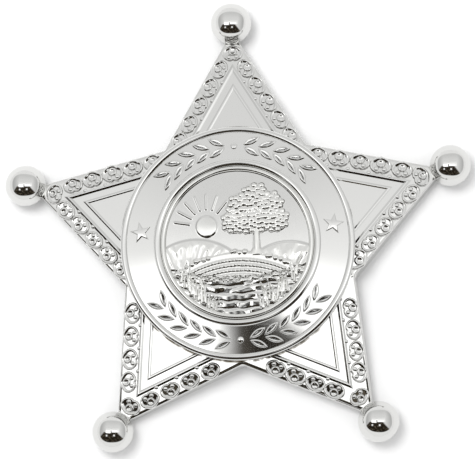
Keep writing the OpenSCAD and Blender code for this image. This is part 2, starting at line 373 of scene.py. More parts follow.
def arched(middle: float, foot: float, half: float, rise: float, steps: int) -> list[Point]:
    """The rounded top of a turned rim, from its outer foot to its inner one.

    Args:
        middle: Radius of the rim's middle.
        foot: Height at which the rounding starts.
        half: Half of the rim's width.
        rise: How far the rounding rises above its foot.
        steps: The number of steps in it.

    Returns:
        Points of radius and height.
    """
    curve = (half**2 + rise**2) / (2 * rise)
    angle = math.degrees(math.acos(half / curve))
    return arc((middle, foot + rise - curve), curve, angle, 180 - angle, steps)


def star_points(point: float, valley: float) -> list[Point]:
    """The corners of a five-pointed star, from its top point round by the right.

    Args:
        point: Reach of its points.
        valley: Reach of the corners between them.

    Returns:
        The ten corners.
    """
    reaches = [valley if i % 2 else point for i in range(2 * ARMS)]
    return [(r * math.sin(i * HALF_TURN), r * math.cos(i * HALF_TURN)) for i, r in enumerate(reaches)]


def dome(share: np.ndarray | float) -> np.ndarray | float:
    """Height of a round dome, 1 high, at a share of its radius."""
    return np.sqrt(np.clip(1 - share**2, 0, 1))


def smoothstep(low: float, high: float, value: np.ndarray) -> np.ndarray:
    """Rises smoothly from 0 at low to 1 at high."""
    t = np.clip((value - low) / (high - low), 0, 1)
    return t * t * (3 - 2 * t)


# ---------------------------------------------------------------- materials

# The values between which most of a noise texture lies
NOISE_BAND = (0.3, 0.7)
# Settings of nodes that mix two colours, and of those that ease from 0 to 1
COLOURS = {"out": 2, "data_type": "RGBA"}
EASED = {"interpolation_type": "SMOOTHSTEP"}


def linear(colour: str) -> Colour:
    """Turns an sRGB hex value into linear light.

    Args:
        colour: The colour as "#rrggbb".

    Returns:
        Red, green, blue and an alpha of 1.
    """
    parts = [int(colour[i : i + 2], 16) / 255 for i in (1, 3, 5)]
    light = [p / 12.92 if p <= 0.04045 else ((p + 0.055) / 1.055) ** 2.4 for p in parts]
    return (light[0], light[1], light[2], 1.0)


def grey(strength: float) -> Colour:
    """A grey light of a given strength."""
    return (strength, strength, strength, 1.0)


def add_node(
    tree: bpy.types.NodeTree,
    kind: str,
    inputs: dict | tuple = (),
    out: int | str = 0,
    **settings: object,
) -> Socket | None:
    """Adds a node with its settings and links.

    Args:
        tree: The node tree.
        kind: The node's type, without the words that all of them start with.
        inputs: A value or an output for each input, in order, or by name or number.
        out: Which of its outputs is wanted.
        settings: The node's own settings by name.

    Returns:
        The wanted output, where the node has any.
    """
    node = tree.nodes.new(f"ShaderNode{kind}")
    for key, value in settings.items():
        setattr(node, key, value)
    for key, value in inputs.items() if isinstance(inputs, dict) else enumerate(inputs):
        if isinstance(value, Socket):
            tree.links.new(value, node.inputs[key])
        else:
            node.inputs[key].default_value = value
    return node.outputs[out] if node.outputs else None


def new_material(name: str) -> tuple[bpy.types.Material, bpy.types.NodeTree]:
    """Makes a material with an empty node tree.

    Args:
        name: The material's name.

    Returns:
        The material and its tree.
    """
    material = bpy.data.materials.new(name)
    material.use_nodes = True
    material.node_tree.nodes.clear()
    return material, material.node_tree


@dataclass(frozen=True)
class Metal:
    """A bare metal, whose colour and roughness each finish works out at every place."""

    name: str

    def surface(self, tree: bpy.types.NodeTree, place: Socket) -> dict[str, object]:
        """Works out the colour and the roughness.

        Args:
            tree: The material's nodes.
            place: The place on the piece.

        Returns:
            The shader's inputs by name.
        """
        raise NotImplementedError

    def material(self) -> bpy.types.Material:
        """Builds the finish.

        Returns:
            The material.
        """
        material, tree = new_material(self.name)
        place = add_node(tree, "TexCoord", out="Object")
        shader = add_node(tree, "BsdfPrincipled", {"Metallic": 1.0, **self.surface(tree, place)})
        add_node(tree, "OutputMaterial", {"Surface": shader})
        return material


@dataclass(frozen=True)
class TarnishAndGapShade:
    """A brown line at the foot of a round edge, on its lower side: partly tarnish where polish and
    dirt have gathered, partly painted shade of the gap under the disc's edge.
    """

    radius: float = 17.38 * MM
    width: float = 0.36 * MM
    core: float = 0.1 * MM
    lowest: float = 2.75 * MM
    # the side the line faces: the lower side, where the disc's painted shade lies
    bearing: float = math.radians(-104)
    spread: float = math.radians(75)
    full_spread: float = math.acos(0.85)
    blotch: float = 1.6 * MM
    blotch_band: Point = (0.35, 0.6)
    colour: str = "#5d5037"
    roughness: float = 0.4

    def cover(self, tree: bpy.types.NodeTree, place: Socket) -> Socket:
        """How far the tarnish and its painted gap shade cover each place, broken up by fine blotches.

        Args:
            tree: The material's nodes.
            place: The place on the piece.

        Returns:
            The share, from 0 to 1.
        """
        flat = add_node(tree, "VectorMath", (place, (1.0, 1.0, 0.0)), operation="MULTIPLY")
        reach = add_node(tree, "VectorMath", (flat,), "Value", operation="LENGTH")
        away = add_node(tree, "Math", (reach, self.radius), operation="SUBTRACT")
        away = add_node(tree, "Math", (away,), operation="ABSOLUTE")
        height = add_node(tree, "SeparateXYZ", (place,), "Z")
        ray = add_node(tree, "VectorMath", (flat,), operation="NORMALIZE")
        toward = (math.cos(self.bearing), math.sin(self.bearing), 0.0)
        facing = add_node(tree, "VectorMath", (ray, toward), "Value", operation="DOT_PRODUCT")
        blotch = add_node(tree, "TexNoise", {"Vector": place, "Scale": 1 / self.blotch, "Detail": 4.0})
        share = 1.0
        for value, clean, covered in (
            (away, self.width, self.core),
            (facing, math.cos(self.spread), math.cos(self.full_spread)),
            (height, self.lowest, self.lowest + self.core),
            (blotch, *self.blotch_band),
        ):
            part = add_node(tree, "MapRange", (value, clean, covered))
            share = add_node(tree, "Math", (share, part), operation="MULTIPLY")
        return share


@dataclass(frozen=True)
class ChromePlate(Metal):
    """Bright chrome on polished die-cast zinc: a mirror with a faint haze of wiping marks."""

    colour: str = "#dadad8"
    roughness: float = 0.045
    haze: float = 0.035
    haze_size: float = 9 * MM
    haze_band: Point = (0.4, 0.7)
    wipe: float = 0.02
    wipe_size: Point = (0.25 * MM, 6 * MM)
    wipe_band: Point = (0.58, 0.75)
    wipe_bearing: float = math.radians(35)
    # brown tarnish with painted shade of the gap under the disc's lower edge
    tarnish_and_gap_shade: TarnishAndGapShade | None = None

    def polish(self, tree: bpy.types.NodeTree, place: Socket) -> Socket:
        """Roughness: broad cloudy haze, and long thin marks from wiping in one direction.

        Args:
            tree: The material's nodes.
            place: The place on the piece.

        Returns:
            The roughness.
        """
        cloudy = {"Vector": place, "Scale": 1 / self.haze_size, "Detail": 3.0}
        cloud = add_node(tree, "TexNoise", cloudy)
        hazy = self.roughness + self.haze
        base = add_node(tree, "MapRange", (cloud, *self.haze_band, self.roughness, hazy))
        wide, long = self.wipe_size
        mapping = {
            "Vector": place,
            "Rotation": (0.0, 0.0, self.wipe_bearing),
            "Scale": (1 / long, 1 / wide, 1 / long),
        }
        turned = add_node(tree, "Mapping", mapping)
        marks = add_node(tree, "TexNoise", {"Vector": turned, "Scale": 1.0, "Detail": 2.0})
        lines = add_node(tree, "MapRange", (marks, *self.wipe_band, 0.0, self.wipe))
        return add_node(tree, "Math", (base, lines), operation="ADD")

    def surface(self, tree: bpy.types.NodeTree, place: Socket) -> dict[str, object]:
        """The plate's one colour and its polish, under the brown tarnish and painted gap shade where
        it has one.

        Args:
            tree: The material's nodes.
            place: The place on the piece.

        Returns:
            The shader's inputs by name.
        """
        colour, rough = linear(self.colour), self.polish(tree, place)
        # mixes in the brown tarnish and the painted shade of the gap under the disc's edge
        if self.tarnish_and_gap_shade:
            share = self.tarnish_and_gap_shade.cover(tree, place)
            brown = linear(self.tarnish_and_gap_shade.colour)
            colour = add_node(tree, "Mix", {0: share, 6: colour, 7: brown}, **COLOURS)
            rough = add_node(tree, "Mix", {0: share, 2: rough, 3: self.tarnish_and_gap_shade.roughness})
        return {"Base Color": colour, "Roughness": rough}


@dataclass(frozen=True)
class StruckNickel(Metal):
    """The medallion's metal: a satin struck field, polished brighter where the relief stands up."""

    name: str = "struck_nickel"
    colours: tuple[str, str] = ("#d3d3d1", "#e1e1de")
    levels: Point = (5.255 * MM, 5.5 * MM)
    roughness: Point = (0.075, 0.05)
    grain_size: float = 0.7 * MM
    grain_lift: float = 0.04 * MM

    def surface(self, tree: bpy.types.NodeTree, place: Socket) -> dict[str, object]:
        """Colour and roughness go from the field's to the polished ones with height.

        Args:
            tree: The material's nodes.
            place: The place on the piece.

        Returns:
            The shader's inputs by name.
        """
        height = add_node(tree, "SeparateXYZ", (place,), "Z")
        grainy = {"Vector": place, "Scale": 1 / self.grain_size, "Detail": 3.0}
        grain = add_node(tree, "TexNoise", grainy)
        lift = add_node(tree, "MapRange", (grain, *NOISE_BAND, -self.grain_lift, self.grain_lift))
        level = add_node(tree, "Math", (height, lift), operation="ADD")
        share = add_node(tree, "MapRange", (level, *self.levels))
        low, high = (linear(colour) for colour in self.colours)
        return {
            "Base Color": add_node(tree, "Mix", {0: share, 6: low, 7: high}, **COLOURS),
            "Roughness": add_node(tree, "Mix", {0: share, 2: self.roughness[0], 3: self.roughness[1]}),
        }


@dataclass(frozen=True)
class DrawnSteel(Metal):
    """Plated steel strip and wire: satin, with fine lines along the clasp from drawing."""

    name: str = "drawn_steel"
    colour: str = "#bfc0c2"
    roughness: float = 0.22
    spread: float = 0.12
    line: Point = (5 * MM, 0.12 * MM)

    def surface(self, tree: bpy.types.NodeTree, place: Socket) -> dict[str, object]:
        """One colour, with a roughness that varies from line to line.

        Args:
            tree: The material's nodes.
            place: The place on the piece.

        Returns:
            The shader's inputs by name.
        """
        long, wide = self.line
        scale = (1 / long, 1 / wide, 1 / wide)
        along = add_node(tree, "Mapping", {"Vector": place, "Scale": scale})
        lines = add_node(tree, "TexNoise", {"Vector": along, "Scale": 1.0, "Detail": 3.0})
        dull = self.roughness + self.spread
        rough = add_node(tree, "MapRange", (lines, *NOISE_BAND, self.roughness, dull))
        return {"Base Color": linear(self.colour), "Roughness": rough}


def dress(obj: bpy.types.Object, material: bpy.types.Material) -> None:
    """Gives an object one material."""
    obj.data.materials.clear()
    obj.data.materials.append(material)


# ---------------------------------------------------------------- studio


@dataclass
class Studio:
    """A white tent on a white table, seen from nearly overhead."""

    tilt: float = math.radians(8.8)
    bearing: float = math.radians(-55.3)
    roll: float = math.radians(2)
    distance: float = 375 * MM
    pixels_per_metre: float = 6736.0
    star_middle: Point = (238.9, 244.6)
    ball_level: float = 2.6 * MM
    sensor: float = 36.0
    clip: Point = (10 * MM, 10000 * MM)
    tent_radius: float = 400 * MM
    table_radius: float = 385 * MM
    table_colour: str = "#dedede"
    table_roughness: float = 0.9
    lamp_place: tuple[float, float, float] = (-80 * MM, 90 * MM, 350 * MM)
    lamp_size: float = 160 * MM
    lamp_power: float = 0.8
    sky_colour: str = "#ffffff"
    sky_strength: float = 1.05

    def view(self) -> tuple[Vector, Vector, Vector]:
        """Works out how the camera is turned.

        Returns:
            The directions toward the camera, to the picture's right and to its top.
        """
        level = Vector((math.cos(self.bearing), math.sin(self.bearing), 0))
        back = level * math.sin(self.tilt) + Vector((0, 0, math.cos(self.tilt)))
        upright = Vector((math.sin(self.roll), math.cos(self.roll), 0))
        right = upright.cross(back).normalized()
        return back, right, back.cross(right)

    def add_camera(self) -> None:
        """Sets the camera so that the star's middle falls where the photograph shows it."""
        back, right, top = self.view()
        data = bpy.data.cameras.new("camera")
        data.sensor_width = self.sensor
        data.lens = self.sensor * self.pixels_per_metre * self.distance / PICTURE[0]
        data.clip_start, data.clip_end = self.clip
        camera = bpy.data.objects.new("camera", data)
        bpy.context.scene.collection.objects.link(camera)
        aside = (PICTURE[0] / 2 - self.star_middle[0]) / self.pixels_per_metre
        above = (self.star_middle[1] - PICTURE[1] / 2) / self.pixels_per_metre
        target = Vector((0, 0, self.ball_level)) + right * aside + top * above
        turned = Matrix((right, top, back)).transposed().to_4x4()
        camera.matrix_world = Matrix.Translation(target + back * self.distance) @ turned
        bpy.context.scene.camera = camera

    def add_table(self) -> None:
        """Adds the white table top, which the chrome mirrors with the badge's shadow on it."""
        deselect_all()
        bpy.ops.mesh.primitive_circle_add(vertices=96, radius=self.table_radius, fill_type="NGON")
        table = bpy.context.object
        table.name = "table"
        # plain uncoated paper: flat white with no shine at all
        material, tree = new_material("white_paper")
        paper = {
            "Base Color": linear(self.table_colour),
            "Roughness": self.table_roughness,
            "Specular IOR Level": 0.0,
        }
        add_node(tree, "OutputMaterial", {"Surface": add_node(tree, "BsdfPrincipled", paper)})
        dress(table, material)

    def add_lights(self) -> None:
        """Adds the soft main light at the upper left, and a pale sky that the camera sees and that
        lights the table, but that the chrome doesn't mirror.
        """
        data = bpy.data.lights.new("main_light", "AREA")
        data.energy, data.size = self.lamp_power, self.lamp_size
        light = bpy.data.objects.new("main_light", data)
        bpy.context.scene.collection.objects.link(light)
        place = Vector(self.lamp_place)
        light.matrix_world = Matrix.Translation(place) @ turned_to(place)
        light.visible_glossy = False
        world = bpy.data.worlds.new("sky")
        bpy.context.scene.world = world
        world.use_nodes = True
        tree = world.node_tree
        tree.nodes.clear()
        sky = add_node(tree, "Background", (linear(self.sky_colour), self.sky_strength))
        add_node(tree, "OutputWorld", {"Surface": sky})
        world.cycles_visibility.glossy = False

    def add_tent(self) -> None:
        """Adds the tent, which only lights and is mirrored, and isn't seen itself."""
        deselect_all()
        bpy.ops.mesh.primitive_uv_sphere_add(segments=64, ring_count=48, radius=self.tent_radius)
        tent = bpy.context.object
        tent.name = "tent"
        with editing(tent):
            pick(tent, Pick.POINTS, lambda v: v.co.z < -MM)
            bpy.ops.mesh.delete(type="VERT")
            bpy.ops.mesh.select_all(action="SELECT")
            bpy.ops.mesh.flip_normals()
        bpy.ops.object.shade_smooth()
        # lit white cloth: it gives the metal its white, grey and dark parts
        dress(tent, TentLight(self.view()).material())
        tent.visible_camera = tent.visible_shadow = tent.visible_diffuse = False

    def set_up(self) -> None:
        """Builds the whole studio."""
        self.add_camera()
        self.add_table()
        self.add_lights()
        self.add_tent()
        bpy.context.scene.view_settings.view_transform = "Standard"
        LOG.info("studio: camera %.0f mm away", self.distance / MM)


@dataclass(frozen=True)
class Patch:
    """A soft-edged patch of light in the tent, where a polished ball on the table shows it.

    Places and half sizes are shares of the ball's radius, across and up. The light changes from
    one strength at the patch's foot to another at its top.
    """

    place: Point
    half: Point
    soft: float
    foot: float
    top: float

    def lay(self, tree: bpy.types.NodeTree, spot: tuple[Socket, Socket], glow: Socket) -> Socket:
        """Lays the patch over the light that is already there.

        Args:
            tree: The tent's nodes.
            spot: The place across and up.
            glow: The light so far.

        Returns:
            The light with the patch.
        """
        share = 1.0
        for value, middle, half in zip(spot, self.place, self.half):
            away = add_node(tree, "Math", (value, middle), operation="SUBTRACT")
            away = add_node(tree, "Math", (away,), operation="ABSOLUTE")
            inside = add_node(tree, "MapRange", (away, half + self.soft, half - self.soft), **EASED)
            share = add_node(tree, "Math", (share, inside), operation="MULTIPLY")
        low, high = self.place[1] - self.half[1], self.place[1] + self.half[1]
        rise = add_node(tree, "MapRange", (spot[1], low, high))
        light = add_node(tree, "Mix", {0: rise, 6: grey(self.foot), 7: grey(self.top)}, **COLOURS)
        return add_node(tree, "Mix", {0: share, 6: glow, 7: light}, **COLOURS)


@dataclass(frozen=True)
class TentLight:
    """The tent's inside: white low walls, a grey ceiling, bright panels and a dark opening.

    Places are those at which a polished ball shows them to the camera, as for a patch.
    """

    view: tuple[Vector, Vector, Vector]
    ceiling_low: float = 0.94
    ceiling_high: float = 0.78
    ceiling_side: float = 0.6
    ceiling_rise: Point = (0.24, 0.5)
    ceiling_turn: Point = (0.32, 0.56)
    opening: tuple[str, str] = ("#241f18", "#6f675a")
    opening_top: float = -0.012
    opening_soft: float = 0.014
    shoulders: tuple[Point, ...] = ((1.14, 0.2), (-1.5, 0.64))
    shoulder_soft: float = 0.05
    clutter: float = 16.0
    clutter_band: Point = (0.5, 0.72)
    wall: float = 1.04
    wall_middle: Point = (-0.01, 0.05)
    wall_half: Point = (0.62, 0.53)
    wall_power: float = 2.6
    wall_soft: float = 0.08
    patches: tuple[Patch, ...] = (
        Patch((-0.2315, 0.1), (0.1115, 0.145), 0.02, 1.4, 0.87),
        Patch((0.1235, 0.1175), (0.1835, 0.1225), 0.02, 1.4, 0.87),
        Patch((-0.218, 0.045), (0.125, 0.03), 0.03, 2.0, 1.8),
        Patch((-0.218, 0.012), (0.125, 0.057), 0.014, 2.0, 1.8),
        Patch((0.08, 0.045), (0.14, 0.03), 0.03, 2.0, 1.8),
        Patch((0.08, 0.024), (0.14, 0.03), 0.012, 2.0, 1.8),
        Patch((-0.09, 0.08), (0.045, 0.04), 0.015, 1.7, 1.5),
        Patch((0.02, 0.01), (0.05, 0.02), 0.007, 1.9, 1.8),
        Patch((-0.092, 0.02), (0.024, 0.06), 0.02, 0.05, 0.3),
        Patch((-0.3, -0.165), (0.03, 0.035), 0.03, 1.5, 1.5),
        Patch((0.045, -0.16), (0.035, 0.035), 0.03, 1.5, 1.5),
    )

    def ceiling(self, tree: bpy.types.NodeTree, spot: tuple[Socket, Socket]) -> Socket:
        """The grey ceiling, brightest just above the panels and darkest toward its sides.

        Args:
            tree: The tent's nodes.
            spot: The place across and up.

        Returns:
            The light of the ceiling.
        """
        rise = add_node(tree, "MapRange", (spot[1], *self.ceiling_rise))
        strengths = {0: rise, 6: grey(self.ceiling_low), 7: grey(self.ceiling_high)}
        glow = add_node(tree, "Mix", strengths, **COLOURS)
        aside = add_node(tree, "Math", (spot[0],), operation="ABSOLUTE")
        turn = add_node(tree, "MapRange", (aside, *self.ceiling_turn))
        return add_node(tree, "Mix", {0: turn, 6: glow, 7: grey(self.ceiling_side)}, **COLOURS)

    def open_side(
        self, tree: bpy.types.NodeTree, spot: tuple[Socket, Socket], half: Socket, glow: Socket
    ) -> Socket:
        """The dark opening on the camera's side, with sloping shoulders and dim things in it.

        Args:
            tree: The tent's nodes.
            spot: The place across and up.
            half: The direction between a ray and the camera's.
            glow: The light so far.

        Returns:
            The light with the opening.
        """
        across, up = spot
        share = 1.0
        edges = [(0.0, self.opening_top, self.opening_soft)]
        edges += [(slope, edge, self.shoulder_soft) for slope, edge in self.shoulders]
        for slope, edge, soft in edges:
            slant = add_node(tree, "Math", (across, slope), operation="MULTIPLY")
            slant = add_node(tree, "Math", (up, slant), operation="ADD")
            below = add_node(tree, "MapRange", (slant, edge + soft, edge - soft), **EASED)
            share = add_node(tree, "Math", (share, below), operation="MULTIPLY")
        things = add_node(tree, "TexNoise", {"Vector": half, "Scale": self.clutter, "Detail": 2.0})
        dim = add_node(tree, "MapRange", (things, *self.clutter_band))
        dark, pale = (linear(colour) for colour in self.opening)
        room = add_node(tree, "Mix", {0: dim, 6: dark, 7: pale}, **COLOURS)
        return add_node(tree, "Mix", {0: share, 6: glow, 7: room}, **COLOURS)

    def walls(self, tree: bpy.types.NodeTree, spot: tuple[Socket, Socket], glow: Socket) -> Socket:
        """The white low walls, above which the ceiling and the opening start.

        Args:
            tree: The tent's nodes.
            spot: The place across and up.
            glow: The light so far.

        Returns:
            The light with the walls.
        """
        ring = 0.0
        for value, middle, half in zip(spot, self.wall_middle, self.wall_half):
            away = add_node(tree, "Math", (value, middle), operation="SUBTRACT")
            away = add_node(tree, "Math", (away, half), operation="DIVIDE")
            away = add_node(tree, "Math", (away,), operation="ABSOLUTE")
            away = add_node(tree, "Math", (away, self.wall_power), operation="POWER")
            ring = add_node(tree, "Math", (ring, away), operation="ADD")
        inside = add_node(tree, "MapRange", (ring, 1 + self.wall_soft, 1 - self.wall_soft), **EASED)
        return add_node(tree, "Mix", {0: inside, 6: grey(self.wall), 7: glow}, **COLOURS)

    def material(self) -> bpy.types.Material:
        """Builds the glow of lit white cloth and of what is beyond its opening.

        Returns:
            The material.
        """
        back, right, top = self.view
        material, tree = new_material("tent_glow")
        place = add_node(tree, "TexCoord", out="Object")
        ray = add_node(tree, "VectorMath", (place,), operation="NORMALIZE")
        half = add_node(tree, "VectorMath", (ray, back), operation="ADD")
        half = add_node(tree, "VectorMath", (half,), operation="NORMALIZE")
        across, up = (
            add_node(tree, "VectorMath", (half, axis), "Value", operation="DOT_PRODUCT")
            for axis in (right, top)
        )
        spot = (across, up)
        glow = self.open_side(tree, spot, half, self.ceiling(tree, spot))
        for patch in self.patches:
            glow = patch.lay(tree, spot, glow)
        light = add_node(tree, "Emission", {"Color": self.walls(tree, spot, glow), "Strength": 1.0})
        add_node(tree, "OutputMaterial", {"Surface": light})
        return material


# ---------------------------------------------------------------- the badge


@dataclass
class StarShape:
    """The star's outline and its five falling faces, which everything on the face follows."""

    arm_reach: float = 32.6 * MM
    valley_reach: float = 18.1 * MM
    crown: float = 4.8 * MM
    fall: float = math.radians(4.5)
    draft: float = math.radians(3.0)

    @property
    def arm_half(self) -> float:
        """Half of the angle at an arm's point."""
        across = self.valley_reach * math.sin(HALF_TURN)
        return math.atan2(across, self.arm_reach - self.valley_reach * math.cos(HALF_TURN))

    @property
    def edge_reach(self) -> float:
        """Distance of every edge's line from the middle."""
        return self.arm_reach * math.sin(self.arm_half)

    @property
    def top_reach(self) -> float:
        """Reach of a point's top corner, once the wall's draft has narrowed it."""
        corner = self.crown - self.arm_reach * math.tan(self.fall)
        return self.arm_reach - corner * math.tan(self.draft) / math.sin(self.arm_half)

    def corners(self, inset: float = 0.0) -> list[Point]:
        """The outline's ten corners, with every edge moved in.

        Args:
            inset: How far the edges are moved in.

        Returns:
            The corners, from the top point round by the right.
        """
        edge = self.edge_reach - inset
        return star_points(edge / math.sin(self.arm_half), edge / math.sin(self.arm_half + HALF_TURN))

    def toward(self, arm: int) -> Vector:
        """The level direction from the middle to an arm's point."""
        return Vector((-math.sin(arm * ARM_TURN), math.cos(arm * ARM_TURN), 0))

    def under_faces(self, block: bpy.types.Object, lift: float) -> None:
        """Cuts a block by the five falling planes.

        Args:
            block: The solid to cut.
            lift: How far the planes lie above the star's own faces.
        """
        for arm in range(ARMS):
            normal = self.toward(arm) * math.sin(self.fall) + Vector((0, 0, math.cos(self.fall)))
            cut_above(block, Vector((0, 0, self.crown + lift)), normal)

    def on_arm(self, arm: int) -> Matrix:
        """Where an arm's own plane lies, with its second axis toward the point."""
        turn, raised = Matrix.Rotation(arm * ARM_TURN, 4, "Z"), Matrix.Translation((0, 0, self.crown))
        return turn @ raised @ Matrix.Rotation(-self.fall, 4, "X")

    def chevron(self, outer: float, inner: float, reach: float) -> list[Point]:
        """A V-shaped strip on an arm's plane, between two distances in from its edges.

        Args:
            outer: Distance of its outer line from the edges.
            inner: Distance of its inner line.
            reach: Distance from the middle at which the strip ends.

        Returns:
            The strip's corners.
        """
        slope = math.tan(self.arm_half)
        lines = []
        for inset in (outer, inner):
            point = self.top_reach - inset / math.sin(self.arm_half)
            a, b = 1 + slope**2, -2 * point * slope**2
            c = (point * slope) ** 2 - reach**2
            end = (-b - math.sqrt(b * b - 4 * a * c)) / (2 * a)
            lines.append((point, end, (point - end) * slope))
        (tip1, end1, side1), (tip2, end2, side2) = lines
        return [(0, tip1), (side1, end1), (side2, end2), (0, tip2), (-side2, end2), (-side1, end1)]


@dataclass
class StarCasting:
    """The cast star: five arms with a raised rim, ball tips and a hollow back."""

    shape: StarShape
    shoulder: tuple[Point, ...] = (
        (0.05 * MM, 0.08 * MM), (0.08 * MM, 0.06 * MM),
        (0.22 * MM, 0.075 * MM), (0.25 * MM, 0.035 * MM),
    )
    valley_round: float = 0.35 * MM
    edge_round: float = 0.07 * MM
    sharp: float = math.radians(35)
    seat_radius: float = 13 * MM
    wall: float = 1.3 * MM
    face: float = 1.2 * MM
    hollow_reach: float = 28 * MM
    ball_radius: float = 3.05 * MM
    ball_reach: float = 33.4 * MM
    ball_level: float = 2.6 * MM
    block_height: float = 6.1 * MM

    @property
    def seat_level(self) -> float:
        """Height of the flat under the disc."""
        return self.shape.crown - self.seat_radius * math.tan(self.shape.fall)

    def block(self) -> bpy.types.Object:
        """Cuts the star with its falling faces and rounded shoulders.

        Returns:
            The star, still solid.
        """
        shape = self.shape
        star = outline("star_casting", shape.corners())
        taper = 1 - self.block_height * math.tan(shape.draft) / shape.edge_reach
        raise_outline(star, self.block_height, taper)
        shape.under_faces(star, -sum(rise for _, rise in self.shoulder))
        reach = (shape.valley_reach + shape.arm_reach) / 2

        def in_valley(edge: bmesh.types.BMEdge) -> bool:
            """Whether an edge runs up one of the valleys between the arms."""
            return rise_of(edge) > 0.9 * edge.calc_length() and edge.verts[0].co.xy.length < reach

        round_edges(star, self.valley_round, 6, in_valley)
        with editing(star):
            pick(star, Pick.FACES, lambda f: f.normal.z > 0.9)
            for draw_in, rise in self.shoulder:
                bpy.ops.mesh.inset(thickness=draw_in, use_even_offset=True)
                bpy.ops.transform.translate(value=(0, 0, rise))
        cut_above(star, Vector((0, 0, self.seat_level)), Vector((0, 0, 1)))
        return star

    def hollow(self) -> bpy.types.Object:
        """The space behind the face.

        Returns:
            A solid that cuts the hollow out.
        """
        shape = self.shape
        core = outline("hollow", shape.corners(self.wall))
        raise_outline(core, self.seat_level - self.face)
        shape.under_faces(core, -self.face / math.cos(shape.fall))
        for arm in range(ARMS):
            cut_above(core, shape.toward(arm) * self.hollow_reach, shape.toward(arm))
        core.data.transform(Matrix.Translation((0, 0, -MM)))
        with editing(core):
            pick(core, Pick.FACES, lambda f: f.normal.z > 0)
            bpy.ops.transform.translate(value=(0, 0, MM))
        return core

    def ball(self) -> bpy.types.Object:
        """The ball at the top point, flat where it stands.

        Returns:
            The ball.
        """
        deselect_all()
        bpy.ops.mesh.primitive_uv_sphere_add(segments=64, ring_count=40, radius=self.ball_radius)
        ball = bpy.context.object
        ball.data.transform(Matrix.Translation((0, self.ball_reach, self.ball_level)))
        cut_above(ball, Vector((0, 0, 0)), Vector((0, 0, -1)))
        return ball

    def build(self) -> bpy.types.Object:
        """Makes the casting.

        Returns:
            The casting, which stands for the solid star.
        """
        star = self.block()
        subtract(star, self.hollow())
        break_edges(star, self.edge_round, 3, self.sharp)
        ball = self.ball()
        balls = [copy_at(ball, Matrix.Rotation(arm * ARM_TURN, 4, "Z")) for arm in range(1, ARMS)]
        casting = join("star_casting", [star, ball, *balls])
        smooth(casting, 32, keep_flats=True)
        return casting


